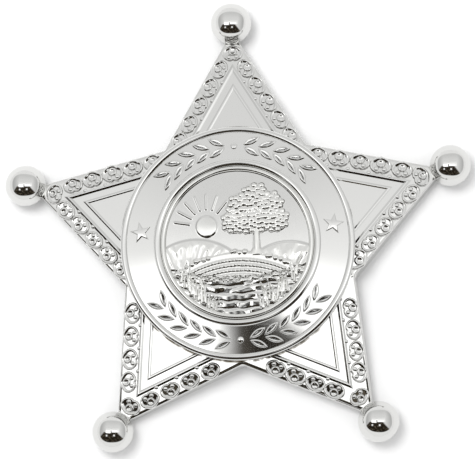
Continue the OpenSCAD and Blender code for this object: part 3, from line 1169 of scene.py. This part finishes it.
@dataclass
class ScrollBorder:
    """The raised border: frames along each edge and a row of scroll rings with beads.

    Where the rings of an edge start, and how they are spaced, is given by arm and side for the
    edges on which the casting differs from the rest.
    """

    shape: StarShape
    first: float = 6.0 * MM
    pitch: float = 3.15 * MM
    corner: float = 3.45 * MM
    per_edge: int = 5
    row_end: float = 18.9 * MM
    spacing: dict[tuple[int, Side], Point] = field(
        default_factory=lambda: {
            (2, Side.RIGHT): (6.5 * MM, 3.4 * MM),
            (2, Side.LEFT): (6.0 * MM, 3.35 * MM),
            (3, Side.RIGHT): (6.7 * MM, 3.08 * MM),
            (3, Side.LEFT): (6.6 * MM, 3.15 * MM),
        }
    )
    row_middle: float = 1.26 * MM
    ring_half: Point = (1.38 * MM, 1.06 * MM)
    ring_section: tuple[Point, ...] = (
        (0.22, 0.0), (0.16, 0.14), (0.04, 0.218), (0.0, 0.225), (-0.04, 0.218), (-0.27, 0.08),
        (-0.33, 0.05), (-0.52, 0.018), (-0.52, -0.15), (-0.15, -0.3), (0.1, -0.32), (0.22, -0.32),
    )
    ring_steps: int = 48
    narrowing: float = 0.1
    notch: float = 0.2 * MM
    notch_spread: float = math.radians(15)
    floor_steps: int = 32
    floor_level: float = 0.085 * MM
    floor_edge: float = 0.03 * MM
    floor_tilt: float = math.radians(6.5)
    eye_place: Point = (0.0, 0.27 * MM)
    eye_section: tuple[Point, ...] = (
        (0.0, 0.112), (0.12, 0.12), (0.26, 0.155), (0.38, 0.225), (0.45, 0.245), (0.53, 0.23),
        (0.68, 0.09), (0.68, -0.05), (0.0, -0.05),
    )
    eye_steps: int = 20
    bead_place: Point = (0.56 * MM, -0.52 * MM)
    bead_radius: float = 0.38 * MM
    bead_height: float = 0.22 * MM
    knot_radius: float = 0.32 * MM
    knot_height: float = 0.17 * MM
    knot_inset: float = 0.05 * MM
    frame_end: float = 15.4 * MM
    outer_frame: Point = (2.54 * MM, 3.22 * MM)
    outer_steps: tuple[Point, ...] = ((0.27 * MM, 0.141 * MM), (0.04 * MM, 0.01 * MM))
    inner_frame: Point = (4.08 * MM, 4.6 * MM)
    inner_steps: tuple[Point, ...] = ((0.16 * MM, 0.075 * MM), (0.06 * MM, 0.015 * MM))
    uneven_turn: float = math.radians(4)
    uneven_place: Point = (0.035 * MM, 0.03 * MM)
    uneven_size: float = 0.025
    uneven_tip: float = math.radians(0.7)
    seed: int = 11

    def frame(self, between: Point, steps: Sequence[Point]) -> bpy.types.Object:
        """A V-shaped frame on the top arm, with gently sloping sides.

        Args:
            between: Distances of its outer and inner line from the arm's edges.
            steps: How far in and up each step of its section goes.

        Returns:
            The frame in its arm's plane.
        """
        return raise_in_steps(outline("frame", self.shape.chevron(*between, self.frame_end)), steps)

    def crest(self, angles: np.ndarray) -> np.ndarray:
        """A ring's crest: an egg with a notch at its inner side.

        Args:
            angles: Directions, with a right angle toward the star's edge.

        Returns:
            Distance from the ring's middle in each direction.
        """
        wide, high = self.ring_half
        egg = 1 / np.hypot(np.cos(angles) / wide, np.sin(angles) / high)
        edgeward = smoothstep(0.1, 1, np.sin(angles))
        egg *= 1 - self.narrowing * edgeward * np.abs(np.cos(angles))
        off = (angles + math.pi / 2 + math.pi) % (2 * math.pi) - math.pi
        return egg - self.notch * np.exp(-((off / self.notch_spread) ** 2))

    def ring(self) -> bpy.types.Object:
        """One scroll ring with its eye and beads, lying at the middle of an arm's plane.

        Returns:
            The ring with all that is in it.
        """
        steps, around = self.ring_steps, len(self.ring_section)
        deselect_all()
        bpy.ops.mesh.primitive_torus_add(
            major_segments=steps, minor_segments=around, major_radius=MM, minor_radius=0.2 * MM
        )
        ring = bpy.context.object
        angles = np.linspace(0, 2 * math.pi, steps, endpoint=False)
        reach = self.crest(angles)
        crest = np.stack([reach * np.cos(angles), reach * np.sin(angles)], axis=1)
        ahead = np.roll(crest, -1, axis=0) - np.roll(crest, 1, axis=0)
        out = np.stack([ahead[:, 1], -ahead[:, 0]], axis=1)
        out /= np.linalg.norm(out, axis=1)[:, None]
        for vertex in ring.data.vertices:
            angle = math.atan2(vertex.co.y, vertex.co.x) % (2 * math.pi)
            index = round(angle / (2 * math.pi) * steps) % steps
            turn = math.atan2(vertex.co.z, math.hypot(vertex.co.x, vertex.co.y) - MM) % (2 * math.pi)
            side, height = self.ring_section[round(turn / (2 * math.pi) * around) % around]
            x, y = crest[index] + out[index] * side * MM
            vertex.co = (x, y, height * MM)
        inside = [self.floor(), self.eye()]
        for side in Side:
            place = (side.value * self.bead_place[0], self.bead_place[1])
            inside.append(self.bead(place, self.bead_radius, self.bead_height))
        for part in inside:
            part.data.transform(Matrix.Rotation(-self.floor_tilt, 4, "X"))
        return join("ring", [ring, *inside])

    def floor(self) -> bpy.types.Object:
        """The ring's level inside, which fills it almost to its crest.

        Returns:
            The floor.
        """
        angles = np.linspace(0, 2 * math.pi, self.floor_steps, endpoint=False)
        reach = self.crest(angles) - self.floor_edge
        points = [(r * math.cos(angle), r * math.sin(angle)) for r, angle in zip(reach, angles)]
        return raise_in_steps(outline("floor", points), [(self.floor_edge, self.floor_level)])

    def eye(self) -> bpy.types.Object:
        """The ring's eye: a low round boss with a hollow in its middle.

        Returns:
            The eye at its place in the ring.
        """
        section = [(reach * MM, height * MM) for reach, height in self.eye_section]
        eye = spun("eye", section, self.eye_steps)
        eye.data.transform(Matrix.Translation((*self.eye_place, 0)))
        return eye

    def bead(self, place: Point, radius: float, height: float) -> bpy.types.Object:
        """A low round bead.

        Args:
            place: Its middle on the plane.
            radius: Its radius.
            height: How far it stands up.

        Returns:
            The bead.
        """
        deselect_all()
        bpy.ops.mesh.primitive_uv_sphere_add(segments=12, ring_count=8, radius=radius)
        bead = bpy.context.object
        low = Matrix.Diagonal((1, 1, height / radius, 1))
        bead.data.transform(Matrix.Translation((*place, 0)) @ low)
        return bead

    def along_edge(self, along: float, inset: float, side: Side) -> Matrix:
        """A place on one arm's plane, turned so that its second axis points to the star's edge.

        Args:
            along: Distance from the arm's point along its edge.
            inset: Distance in from the edge.
            side: Which edge.

        Returns:
            The place.
        """
        half = self.shape.arm_half
        x = side.value * (along * math.sin(half) - inset * math.cos(half))
        y = self.shape.top_reach - along * math.cos(half) - inset * math.sin(half)
        turn = Matrix.Rotation(side.value * (half - math.pi / 2), 4, "Z")
        return Matrix.Translation((x, y, 0)) @ turn

    def places(self) -> tuple[list[Matrix], list[Matrix]]:
        """Where the rings and the knots between them lie, arm by arm.

        Returns:
            The places of the rings, and those of the knots.
        """
        rings, knots = [], []
        knot_line = self.outer_frame[0] + self.knot_inset
        for number in range(ARMS):
            arm = self.shape.on_arm(number)
            rings.append(arm @ Matrix.Translation((0, self.shape.top_reach - self.corner, 0)))
            for side in Side:
                first, pitch = self.spacing.get((number, side), (self.first, self.pitch))
                for along in (first + step * pitch for step in range(self.per_edge)):
                    if along < self.row_end:
                        rings.append(arm @ self.along_edge(along, self.row_middle, side))
                        knots.append(arm @ self.along_edge(along + pitch / 2, knot_line, side))
        return rings, knots

    def uneven(self, cast: np.random.Generator) -> Matrix:
        """The small unevenness of one ring in the casting.

        Args:
            cast: Where its chance comes from.

        Returns:
            The ring's shift, tip, turn and growth.
        """
        turn, x, y, size = cast.normal(0, (self.uneven_turn, *self.uneven_place, self.uneven_size))
        tip_x, tip_y = cast.normal(0, self.uneven_tip, 2)
        tipped = Matrix.Rotation(tip_x, 4, "X") @ Matrix.Rotation(tip_y, 4, "Y")
        spin = Matrix.Rotation(turn, 4, "Z") @ Matrix.Diagonal((1 + size, 1 + size, 1, 1))
        return Matrix.Translation((x, y, 0)) @ tipped @ spin

    def build(self) -> list[bpy.types.Object]:
        """Makes the frames and the rings of all five arms.

        Returns:
            The frames as one piece and the rings as another.
        """
        strips = [
            self.frame(self.outer_frame, self.outer_steps),
            self.frame(self.inner_frame, self.inner_steps),
        ]
        ring, knot = self.ring(), self.bead((0, 0), self.knot_radius, self.knot_height)
        rings, knots = self.places()
        cast = np.random.default_rng(self.seed)

        frames = [copy_at(strip, self.shape.on_arm(arm)) for arm in range(ARMS) for strip in strips]
        frames += [copy_at(knot, place) for place in knots]
        border = join("border_frames", frames)
        smooth(border, 20, keep_flats=True)
        scrolls = join("border_scrolls", [copy_at(ring, place @ self.uneven(cast)) for place in rings])
        smooth(scrolls, 60)
        for spare in (*strips, ring, knot):
            bpy.data.objects.remove(spare)
        return [border, scrolls]


@dataclass
class CentreDisc:
    """The applied disc: a turned plate with a rolled rim, laurel sprays, two stars and two posts."""

    boss_radius: float = 13 * MM
    boss_level: float = 3.827 * MM
    radius: float = 17.4 * MM
    under: float = 4.2144 * MM
    edge: float = 0.8 * MM
    chamfer: float = 0.06 * MM
    fall: float = math.radians(7.0)
    rim_width: float = 0.96 * MM
    rim_height: float = 0.24 * MM
    bezel_radius: float = 12.4 * MM
    bezel_height: float = 0.22 * MM
    pocket_radius: float = 11.4 * MM
    pocket_level: float = 4.355 * MM
    turn_steps: int = 192
    small_star_radius: float = 1.65 * MM
    small_star_waist: float = 0.42
    small_star_rise: float = math.radians(8.5)
    small_star_steps: tuple[Point, ...] = (
        (0, 0.02 * MM), (0.12 * MM, 0.12 * MM), (0.08 * MM, 0.02 * MM),
    )
    leaf_length: float = 2.8 * MM
    leaf_width: float = 1.0 * MM
    leaf_spread: float = math.radians(28.0)
    leaf_pitch: float = 0.8
    leaf_rows: int = 12
    leaf_fullness: float = 0.8
    leaf_steps: tuple[Point, ...] = (
        (0, 0.04 * MM), (0.09 * MM, 0.09 * MM), (0.1 * MM, 0.03 * MM), (0.13 * MM, -0.05 * MM),
    )
    berry_flatness: float = 0.35
    upper_pairs: int = 5
    lower_pairs: int = 6
    post_span: float = 15 * MM
    post_side: float = -5 * MM
    post_radius: float = 0.9 * MM
    post_head_radius: float = 1.5 * MM
    post_head: float = 0.5 * MM
    post_end: float = 2.527 * MM
    post_round: float = 0.15 * MM

    @property
    def outer_level(self) -> float:
        """Height of the ring's outer edge."""
        return self.under + self.edge

    @property
    def ring_outer(self) -> float:
        """Radius of the ring's outer edge, inside the rim."""
        return self.radius - self.rim_width

    @property
    def inner_level(self) -> float:
        """Height of the ring beside the bezel."""
        return self.outer_level + (self.ring_outer - self.bezel_radius) * math.tan(self.fall)

    @property
    def ring_middle(self) -> Point:
        """Radius and height of the ring's middle."""
        return (self.ring_outer + self.bezel_radius) / 2, (self.outer_level + self.inner_level) / 2

    def profile(self) -> list[Point]:
        """The plate's section.

        Returns:
            Points of radius and height, from the middle of the boss round to that of the pocket.
        """
        rim, bezel = self.rim_width / 2, (self.bezel_radius - self.pocket_radius) / 2
        foot = (self.radius - self.chamfer, self.under + self.chamfer)
        return [
            (0, self.boss_level),
            (self.boss_radius, self.boss_level),
            (self.boss_radius, self.under),
            *arc(foot, self.chamfer, -90, 0, 3),
            *arched(self.radius - rim, self.outer_level, rim, self.rim_height, 14),
            *arched(self.bezel_radius - bezel, self.inner_level, bezel, self.bezel_height, 16),
            (self.pocket_radius, self.pocket_level),
            (0, self.pocket_level),
        ]

    def on_ring(self, turn: float) -> Matrix:
        """Where an ornament lies on the sloping ring, with its second axis outwards.

        Args:
            turn: Its angle from the top, clockwise.

        Returns:
            Its place.
        """
        place = Matrix.Translation((0, *self.ring_middle))
        return Matrix.Rotation(-turn, 4, "Z") @ place @ Matrix.Rotation(-self.fall, 4, "X")

    def small_star(self) -> bpy.types.Object:
        """One small raised star."""
        corners = star_points(self.small_star_radius, self.small_star_waist * self.small_star_radius)
        return raise_in_steps(outline("small_star", corners), self.small_star_steps)

    def leaf(self) -> bpy.types.Object:
        """One leaf with rounded sides.

        Returns:
            The leaf, from its foot along its second axis.
        """
        shares = [row / self.leaf_rows for row in range(self.leaf_rows + 1)]
        half = self.leaf_width / 2
        widths = [half * math.sin(math.pi * share) ** self.leaf_fullness for share in shares]
        side = [(width, self.leaf_length * share) for width, share in zip(widths, shares)]
        points = side + [(-x, y) for x, y in reversed(side[1:-1])]
        return raise_in_steps(outline("leaf", points), self.leaf_steps)

    def laurel(self, middle: float, pairs: int, leaf: bpy.types.Object) -> list[bpy.types.Object]:
        """Two sprays of leaves that start at a berry and run to both sides.

        Args:
            middle: The angle at which the sprays meet.
            pairs: The number of pairs of leaves in each spray.
            leaf: The leaf that is copied.

        Returns:
            The berry and the leaves.
        """
        step = 2 * math.asin(self.leaf_pitch * self.leaf_length / 2 / self.ring_middle[0])
        stalk = Matrix.Translation((0, self.leaf_length / 10, 0))
        deselect_all()
        bpy.ops.mesh.primitive_uv_sphere_add(segments=20, ring_count=12, radius=self.leaf_width / 2)
        berry = bpy.context.object
        berry.data.transform(self.on_ring(middle) @ Matrix.Diagonal((1, 1, self.berry_flatness, 1)))
        leaves = [berry]
        for side in Side:
            for number in range(pairs):
                place = self.on_ring(middle + side.value * (number + 0.5) * step)
                for spread in (-self.leaf_spread, self.leaf_spread):
                    turn = Matrix.Rotation(-side.value * (math.pi / 2 - spread), 4, "Z")
                    leaves.append(copy_at(leaf, place @ turn @ stalk))
        return leaves

    def posts(self) -> list[bpy.types.Object]:
        """The two posts with their peened heads behind the star.

        Returns:
            The posts and the heads.
        """
        shank = (self.post_radius, self.post_end, self.boss_level + 0.1 * MM)
        head = (self.post_head_radius, self.post_end - self.post_head, self.post_end)
        found = []
        for side in Side:
            for radius, low, high in (shank, head):
                deselect_all()
                bpy.ops.mesh.primitive_cylinder_add(vertices=40, radius=radius, depth=high - low)
                post = bpy.context.object
                round_edges(post, self.post_round, 4, lambda e: max(v.co.z for v in e.verts) < 0)
                place = (side.value * self.post_span / 2, self.post_side, (low + high) / 2)
                post.data.transform(Matrix.Translation(place))
                found.append(post)
        return found

    def build(self) -> bpy.types.Object:
        """Makes the disc.

        Returns:
            The disc with its ornaments and posts, which stands for its solid.
        """
        plate = spun("applied_disc", self.profile(), self.turn_steps)
        smooth(plate, 30, keep_flats=True)
        star, leaf = self.small_star(), self.leaf()
        turn = math.pi / 2 - self.small_star_rise
        parts = [copy_at(star, self.on_ring(side.value * turn)) for side in Side]
        parts += self.laurel(0, self.upper_pairs, leaf) + self.laurel(math.pi, self.lower_pairs, leaf)
        for spare in (star, leaf):
            bpy.data.objects.remove(spare)
        ornaments = join("ornaments", parts + self.posts())
        smooth(ornaments, 35)
        return join("applied_disc", [plate, ornaments])


@dataclass
class Landscape:
    """A struck landscape of sun, hills, tree, field and water, as the height of each place.

    Places, across and up, are shares of the field's radius, and heights are shares of the relief's.
    """

    u: np.ndarray
    v: np.ndarray
    far_hills: tuple[tuple[float, float, float, float], ...] = (
        (-0.6, 0.08, 0.85, 0.3), (0.7, 0, 0.75, 0.35),
    )
    fold_depth: float = 0.22
    hill_top: float = -0.12
    hill_radius: float = 1.5
    hill_height: float = 0.5
    row_pitch: float = 0.07
    row_height: float = 0.3
    tuft_height: float = 0.2
    bank_top: float = -0.5
    bank_radius: float = 3.0
    wave_pitch: float = 0.105
    wave_back: float = 0.16
    wave_step: float = 0.24
    wave_foot: float = 0.05
    sun: Point = (-0.42, 0.24)
    sun_radius: float = 0.16
    sun_height: Point = (0.26, 0.1)
    rays: int = 9
    ray_fan: float = 160.0
    ray_reach: Point = (0.225, 0.47)
    ray_height: float = 0.22
    tree: float = 0.27
    trunk_foot: float = -0.18
    trunk_top: float = 0.36
    bark: float = 0.1
    clumps: tuple[tuple[float, float, float], ...] = (
        (0, 0.62, 0.2), (-0.2, 0.5, 0.19), (0.2, 0.5, 0.19), (-0.3, 0.3, 0.17),
        (0.28, 0.3, 0.17), (-0.1, 0.3, 0.18), (0.1, 0.32, 0.18),
    )
    clump_height: float = 0.62
    leaves: int = 26
    leaf_turn: float = 2.39996
    leaf_size: float = 0.042
    leaf_height: float = 0.38
    bushes: int = 30
    stones: int = 54
    blades: int = 26
    blade_half: float = 0.02
    blade_height: float = 0.75
    seed: int = 7

    def grain(self, u: np.ndarray, v: np.ndarray, number: int) -> np.ndarray:
        """Smooth noise from 0 to 1 with one bump per unit.

        Args:
            u: Places across.
            v: Places up.
            number: Which noise.

        Returns:
            The noise at each place.
        """
        table = np.random.default_rng(self.seed + number).random((64, 64))
        left, low = np.floor(u).astype(int), np.floor(v).astype(int)
        across, up = smoothstep(0, 1, u - left), smoothstep(0, 1, v - low)

        def corner(i: int, j: int) -> np.ndarray:
            """The noise at one corner of each place's square."""
            return table[(left + i) % 64, (low + j) % 64]

        bottom = corner(0, 0) * (1 - across) + corner(1, 0) * across
        top = corner(0, 1) * (1 - across) + corner(1, 1) * across
        return bottom * (1 - up) + top * up

    def hill_line(self, u: np.ndarray | float) -> np.ndarray | float:
        """How far up the near hill's top lies."""
        return self.hill_top - self.hill_radius + np.sqrt(self.hill_radius**2 - u**2)

    def bank_line(self, u: np.ndarray | float) -> np.ndarray | float:
        """How far up the water's edge lies."""
        return self.bank_top + self.bank_radius - np.sqrt(self.bank_radius**2 - u**2)

    def hills(self) -> np.ndarray:
        """The far hills, with folds that run down their sides.

        Returns:
            The height at each place.
        """
        height = np.zeros_like(self.u)
        for x, top, radius, share in self.far_hills:
            across, up = self.u - x, self.v - (top - radius)
            inside = radius - np.hypot(across, up)
            along = np.arctan2(across, up) * radius
            folds = np.abs(self.grain(along * 11 + 3 * inside, inside * 4, int(share * 100)) - 0.5) * 2
            rise = share * smoothstep(0, 0.035, inside)
            rise = rise + self.fold_depth * smoothstep(0.01, 0.12, inside) * (0.5 - folds)
            least = share * smoothstep(0, 0.03, inside) * 0.6
            height = np.where(inside > 0, np.maximum(rise, least), height)
        return height

    def rows(self) -> np.ndarray:
        """The near hill, with rows of crops that follow its top, and tufts below them.

        Returns:
            The height at each place.
        """
        u, v = self.u, self.v
        drop = self.hill_line(u) - v
        number = np.floor(drop / self.row_pitch)
        across = np.abs(drop / self.row_pitch - number - 0.75)
        plant = 0.5 + 0.5 * np.cos(2 * np.pi * (u * (22 - 1.2 * number) + 0.37 * number))
        rough = self.grain(u * 40, v * 40, 3)
        crop = smoothstep(0.38, 0.1, across) * (0.25 + 0.75 * plant) * (0.7 + 0.5 * rough)
        planted = (number >= 1) & (number <= 4)
        tufts = smoothstep(0.35, 0.75, self.grain(u * 45, v * 16, 4)) * smoothstep(0.34, 0.38, drop)
        ground = self.hill_height * smoothstep(0, 0.03, drop)
        height = ground + self.row_height * planted * crop + self.tuft_height * tufts
        return np.where(drop > 0, height, 0)

    def water(self) -> tuple[np.ndarray, np.ndarray]:
        """The water in front, in waves with a long back, a steep step and a short front.

        Returns:
            How far each place lies below the bank, and the waves' height there.
        """
        u, v = self.u, self.v
        back_end, step_end = 0.6, 0.8
        drop = self.bank_line(u) - v + 0.008 * np.sin(u * 30 + 4 * self.grain(u * 3, v * 9, 5))
        phase = (drop / self.wave_pitch - 0.2) % 1
        step = self.wave_step * smoothstep(0.2, 0.5, self.grain(u * 7, v * 13, 6))
        full = self.wave_back + step
        back = self.wave_back * np.clip(phase / back_end, 0, 1)
        back = back + step * np.clip((phase - back_end) / (step_end - back_end), 0, 1)
        front = full * np.clip((1 - phase) / (1 - step_end), 0, 1)
        wave = self.wave_foot + full - np.where(phase < step_end, back, front)
        return drop, np.where(drop > 0.04, wave, 0)

    def sunrise(self) -> np.ndarray:
        """The sun and its rays.

        Returns:
            The height at each place.
        """
        x, y = self.u - self.sun[0], self.v - self.sun[1]
        reach = np.hypot(x, y)
        rim, swell = self.sun_height
        swollen = rim + swell * dome(reach / self.sun_radius)
        disc = smoothstep(0, 0.03, self.sun_radius - reach) * swollen
        turn = np.degrees(np.arctan2(x, y))
        step = self.ray_fan / (self.rays - 1)
        off = np.abs(np.radians(turn - np.round(turn / step) * step) * reach)
        start, end = self.ray_reach
        ray = smoothstep(0.019, 0.004, off)
        ray = ray * smoothstep(start, start + 0.025, reach) * smoothstep(end, end - 0.03, reach)
        return np.maximum(disc, self.ray_height * ray * (np.abs(turn) < 90))

    def oak(self) -> np.ndarray:
        """The tree: a flared trunk with bark, and clumps of small leaves.

        Returns:
            The height at each place.
        """
        u, v = self.u, self.v
        half = np.interp(v, [self.trunk_foot, -0.08, 0.2], [0.11, 0.05, 0.04])
        side = (u - self.tree) / half
        wood = self.clump_height * dome(side) + self.bark * self.grain(u * 60, v * 9, 8)
        trunk = np.where((np.abs(side) < 1) & (v > self.trunk_foot) & (v < self.trunk_top), wood, 0)
        crown = np.zeros_like(u)
        for x, y, radius in self.clumps:
            reach = np.hypot(u - self.tree - x, v - y)
            crown = np.maximum(crown, self.clump_height * dome(reach / radius))
            for number in range(self.leaves):
                out = radius * 0.97 * math.sqrt((number + 0.5) / self.leaves)
                turn = number * self.leaf_turn + x * 20
                leaf_x, leaf_y = self.tree + x + out * math.cos(turn), y + out * math.sin(turn)
                bump = dome(np.hypot(u - leaf_x, (v - leaf_y) * 1.15) / self.leaf_size)
                under = self.clump_height * dome(out / radius)
                crown = np.maximum(crown, np.where(bump > 0, under + self.leaf_height * bump, 0))
        return np.maximum(trunk, np.minimum(crown, 1))

    def lumps(self, spots: Sequence[Sequence[float]]) -> np.ndarray:
        """Round lumps that stand on a step.

        Args:
            spots: Middle across and up, radius, step and top of each.

        Returns:
            The height at each place.
        """
        height = np.zeros_like(self.u)
        for x, y, radius, step, top in spots:
            rise = dome(np.hypot(self.u - x, (self.v - y) * 1.2) / radius)
            height = np.where(rise > 0, np.maximum(height, step + (top - step) * rise), height)
        return height

    def hedge(self) -> np.ndarray:
        """Bushes along the near hill's top, with gaps at the tree and at one more place.

        Returns:
            The height at each place.
        """
        rng = np.random.default_rng(self.seed + 20)
        spots = []
        for x in np.linspace(-0.9, 0.9, self.bushes) + rng.uniform(-0.015, 0.015, self.bushes):
            if abs(x - self.tree) > 0.13 and abs(x + 0.25) > 0.12:
                y = self.hill_line(x) + rng.uniform(-0.03, 0.0)
                spots.append((x, y, rng.uniform(0.028, 0.046), 0.3, rng.uniform(0.7, 0.95)))
        return self.lumps(spots)

    def shore(self) -> np.ndarray:
        """Stones along the water's edge.

        Returns:
            The height at each place.
        """
        rng = np.random.default_rng(self.seed + 30)
        spots = []
        for x in np.linspace(-0.84, 0.84, self.stones) + rng.uniform(-0.012, 0.012, self.stones):
            y = self.bank_line(x) + rng.uniform(-0.045, 0.03)
            spots.append((x, y, rng.uniform(0.018, 0.042), 0.15, rng.uniform(0.5, 0.8)))
        return self.lumps(spots)

    def reeds(self) -> np.ndarray:
        """Reeds at both sides of the water.

        Returns:
            The height at each place.
        """
        rng = np.random.default_rng(self.seed + 40)
        height = np.zeros_like(self.u)
        for side in Side:
            for _ in range(self.blades):
                x = side.value * rng.uniform(0.3, 0.82)
                foot = -math.sqrt(max(0.0, 0.9 - x**2)) + rng.uniform(-0.05, 0.04)
                length, lean = rng.uniform(0.16, 0.36), rng.uniform(-0.1, 0.1)
                share = (self.v - foot) / length
                half = self.blade_half * np.clip(1 - share, 0.05, 1) ** 0.7
                blade = self.blade_height * dome((self.u - x - lean * share**2) / half)
                height = np.maximum(height, np.where((share > 0) & (share < 1), blade, 0))
        return height

    def height(self) -> np.ndarray:
        """The whole relief.

        Returns:
            The height at each place.
        """
        drop, waves = self.water()
        land = np.maximum(self.hills(), self.rows()) * smoothstep(0, 0.03, -drop)
        sky = self.sunrise() * (drop < 0)
        things = [self.hedge(), self.shore(), self.reeds(), self.oak()]
        return np.maximum.reduce([land, waves, sky, *things])


@dataclass
class Medallion:
    """The set-in medallion: a turned rim round a struck landscape."""

    radius: float = 11.35 * MM
    rim_width: float = 0.7 * MM
    rim_height: float = 0.5 * MM
    rim_round: float = 0.2 * MM
    under: float = 4.405 * MM
    chamfer: float = 0.1 * MM
    field_level: float = 5.255 * MM
    relief: float = 0.45 * MM
    grid: int = 300
    overlap: float = 0.12 * MM
    sink: float = 0.15 * MM
    turn_steps: int = 160

    @property
    def field_radius(self) -> float:
        """Radius of the sunk field inside the rim."""
        return self.radius - self.rim_width

    def struck_field(self) -> bpy.types.Object:
        """The field with its relief.

        Returns:
            A thin solid that sinks into the medallion and under its rim.
        """
        wide = self.field_radius + self.overlap
        deselect_all()
        bpy.ops.mesh.primitive_grid_add(
            x_subdivisions=self.grid, y_subdivisions=self.grid, size=2 * wide
        )
        struck = bpy.context.object
        with editing(struck):
            pick(struck, Pick.POINTS, lambda v: v.co.xy.length > wide)
            bpy.ops.mesh.delete(type="VERT")
            bpy.ops.mesh.select_all(action="SELECT")
            bpy.ops.mesh.extrude_region_move(TRANSFORM_OT_translate={"value": (0, 0, MM)})
            bpy.ops.mesh.select_all(action="SELECT")
            bpy.ops.mesh.normals_make_consistent(inside=False)
            pick(struck, Pick.FACES, lambda f: f.normal.z < -0.9)
            bpy.ops.mesh.dissolve_faces()
        co = np.empty(3 * len(struck.data.vertices))
        struck.data.vertices.foreach_get("co", co)
        co = co.reshape(-1, 3)
        top = co[:, 2] > MM / 2
        u, v = co[:, 0] / self.field_radius, co[:, 1] / self.field_radius
        height = self.relief * Landscape(u, v).height()
        co[:, 2] = self.field_level + np.where(top, height, -self.sink)
        struck.data.vertices.foreach_set("co", co.ravel())
        struck.data.update()
        return struck

    def body(self) -> bpy.types.Object:
        """The turned body with its rounded rim.

        Returns:
            The body, whose middle is just under the field.
        """
        half, low = self.rim_width / 2, self.field_level - 0.05 * MM
        foot = self.field_level + self.rim_height - self.rim_round
        profile = [
            (0, self.under),
            (self.radius - self.chamfer, self.under),
            (self.radius, self.under + self.chamfer),
            *arched(self.radius - half, foot, half, self.rim_round, 14),
            (self.field_radius - 0.1 * MM, low),
            (0, low),
        ]
        return spun("medallion", profile, self.turn_steps)

    def build(self) -> bpy.types.Object:
        """Makes the medallion.

        Returns:
            The medallion, which stands for its solid.
        """
        body, struck = self.body(), self.struck_field()
        smooth(body, 40, keep_flats=True)
        smooth(struck, 75)
        return join("medallion", [body, struck])


@dataclass
class PinClasp:
    """The bar pin behind the badge: a flat bar, a hinge barrel, the pin and its catch, in one."""

    length: float = 25 * MM
    width: float = 4 * MM
    thickness: float = 0.5 * MM
    corner: float = 0.6 * MM
    edge: float = 0.08 * MM
    sharp: float = math.radians(40)
    under: float = 1.9405 * MM
    side: float = 5 * MM
    barrel: float = 0.85 * MM
    level: float = 1.19 * MM
    pin: float = 0.35 * MM
    catch_reach: float = 11.5 * MM
    catch_width: float = 2 * MM

    def bar(self) -> bpy.types.Object:
        """The flat bar with rounded corners and broken edges.

        Returns:
            The bar.
        """
        deselect_all()
        bpy.ops.mesh.primitive_cube_add(size=1)
        bar = bpy.context.object
        bar.data.transform(Matrix.Diagonal((self.length, self.width, self.thickness, 1)))
        round_edges(bar, self.corner, 6, lambda e: rise_of(e) > self.thickness / 2)
        bar.data.transform(Matrix.Translation((0, 0, self.under + self.thickness / 2)))
        break_edges(bar, self.edge, 2, self.sharp)
        return bar

    def rod(
        self, radius: float, depth: float, place: Vector, along: Vector, sides: int
    ) -> bpy.types.Object:
        """A straight rod with rounded ends.

        Args:
            radius: Its radius.
            depth: Its length.
            place: Its middle.
            along: Its direction.
            sides: The number of its sides.

        Returns:
            The rod.
        """
        deselect_all()
        bpy.ops.mesh.primitive_cylinder_add(vertices=sides, radius=radius, depth=depth)
        rod = bpy.context.object
        round_edges(rod, radius / 5, 2, lambda e: rise_of(e) < depth / 4)
        rod.data.transform(Matrix.Translation(place) @ turned_to(along))
        return rod

    def build(self) -> bpy.types.Object:
        """Makes the clasp.

        Returns:
            The clasp, which stands for its solid.
        """
        across, up = Vector((1, 0, 0)), Vector((0, 1, 0))
        middle = Vector((0, 0, self.level))
        end = across * self.catch_reach
        parts = [
            self.bar(),
            self.rod(self.barrel, self.width, middle - end, up, 40),
            self.rod(self.pin, 2 * self.catch_reach, middle, across, 20),
            self.rod(self.barrel, self.catch_width, middle + end, across, 40),
        ]
        clasp = join("bar_pin", parts)
        clasp.data.transform(Matrix.Translation((0, self.side, 0)))
        smooth(clasp, 40, keep_flats=True)
        return clasp


def main() -> None:
    """Builds the studio and every piece of the badge."""
    logging.basicConfig(level=logging.INFO, format="%(message)s")
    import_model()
    Studio().set_up()
    finishes = {
        # a hard bright mirror that breaks up over the border, with a brown line below the disc that is
        # partly tarnish and partly painted shade of the gap under its edge
        "star_chrome": ChromePlate("star_plate_chrome", tarnish_and_gap_shade=TarnishAndGapShade()),
        # the same mirror, a little hazier where hands and cloths have gone round the ring
        "disc_chrome": ChromePlate(
            "centre_disc_chrome", roughness=0.05, haze=0.04, wipe_bearing=math.radians(-20)
        ),
        # a softer, greyer shine that keeps the relief readable, bright on its high places
        "medallion_chrome": StruckNickel(),
        # a dull satin grey that sets the working parts off from the plate
        "pin_steel": DrawnSteel(),
    }
    materials = {slot: finish.material() for slot, finish in finishes.items()}
    shape = StarShape()
    pieces = [(StarCasting(shape).build(), "star_chrome", ["star_plate"])]
    pieces += [(piece, "star_chrome", []) for piece in ScrollBorder(shape).build()]
    pieces.append((CentreDisc().build(), "disc_chrome", ["centre_disc"]))
    pieces.append((Medallion().build(), "medallion_chrome", ["seal_medallion"]))
    pieces.append((PinClasp().build(), "pin_steel", ["pin_clasp"]))
    for piece, slot, nodes in pieces:
        dress(piece, materials[slot])
        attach(piece, "root")
        if nodes:
            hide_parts(*nodes)
        stands_for = ", ".join(nodes) or "detail on the casting"
        LOG.info("%s: %d faces, %s", piece.name, len(piece.data.polygons), stands_for)


if __name__ == "__main__":
    main()
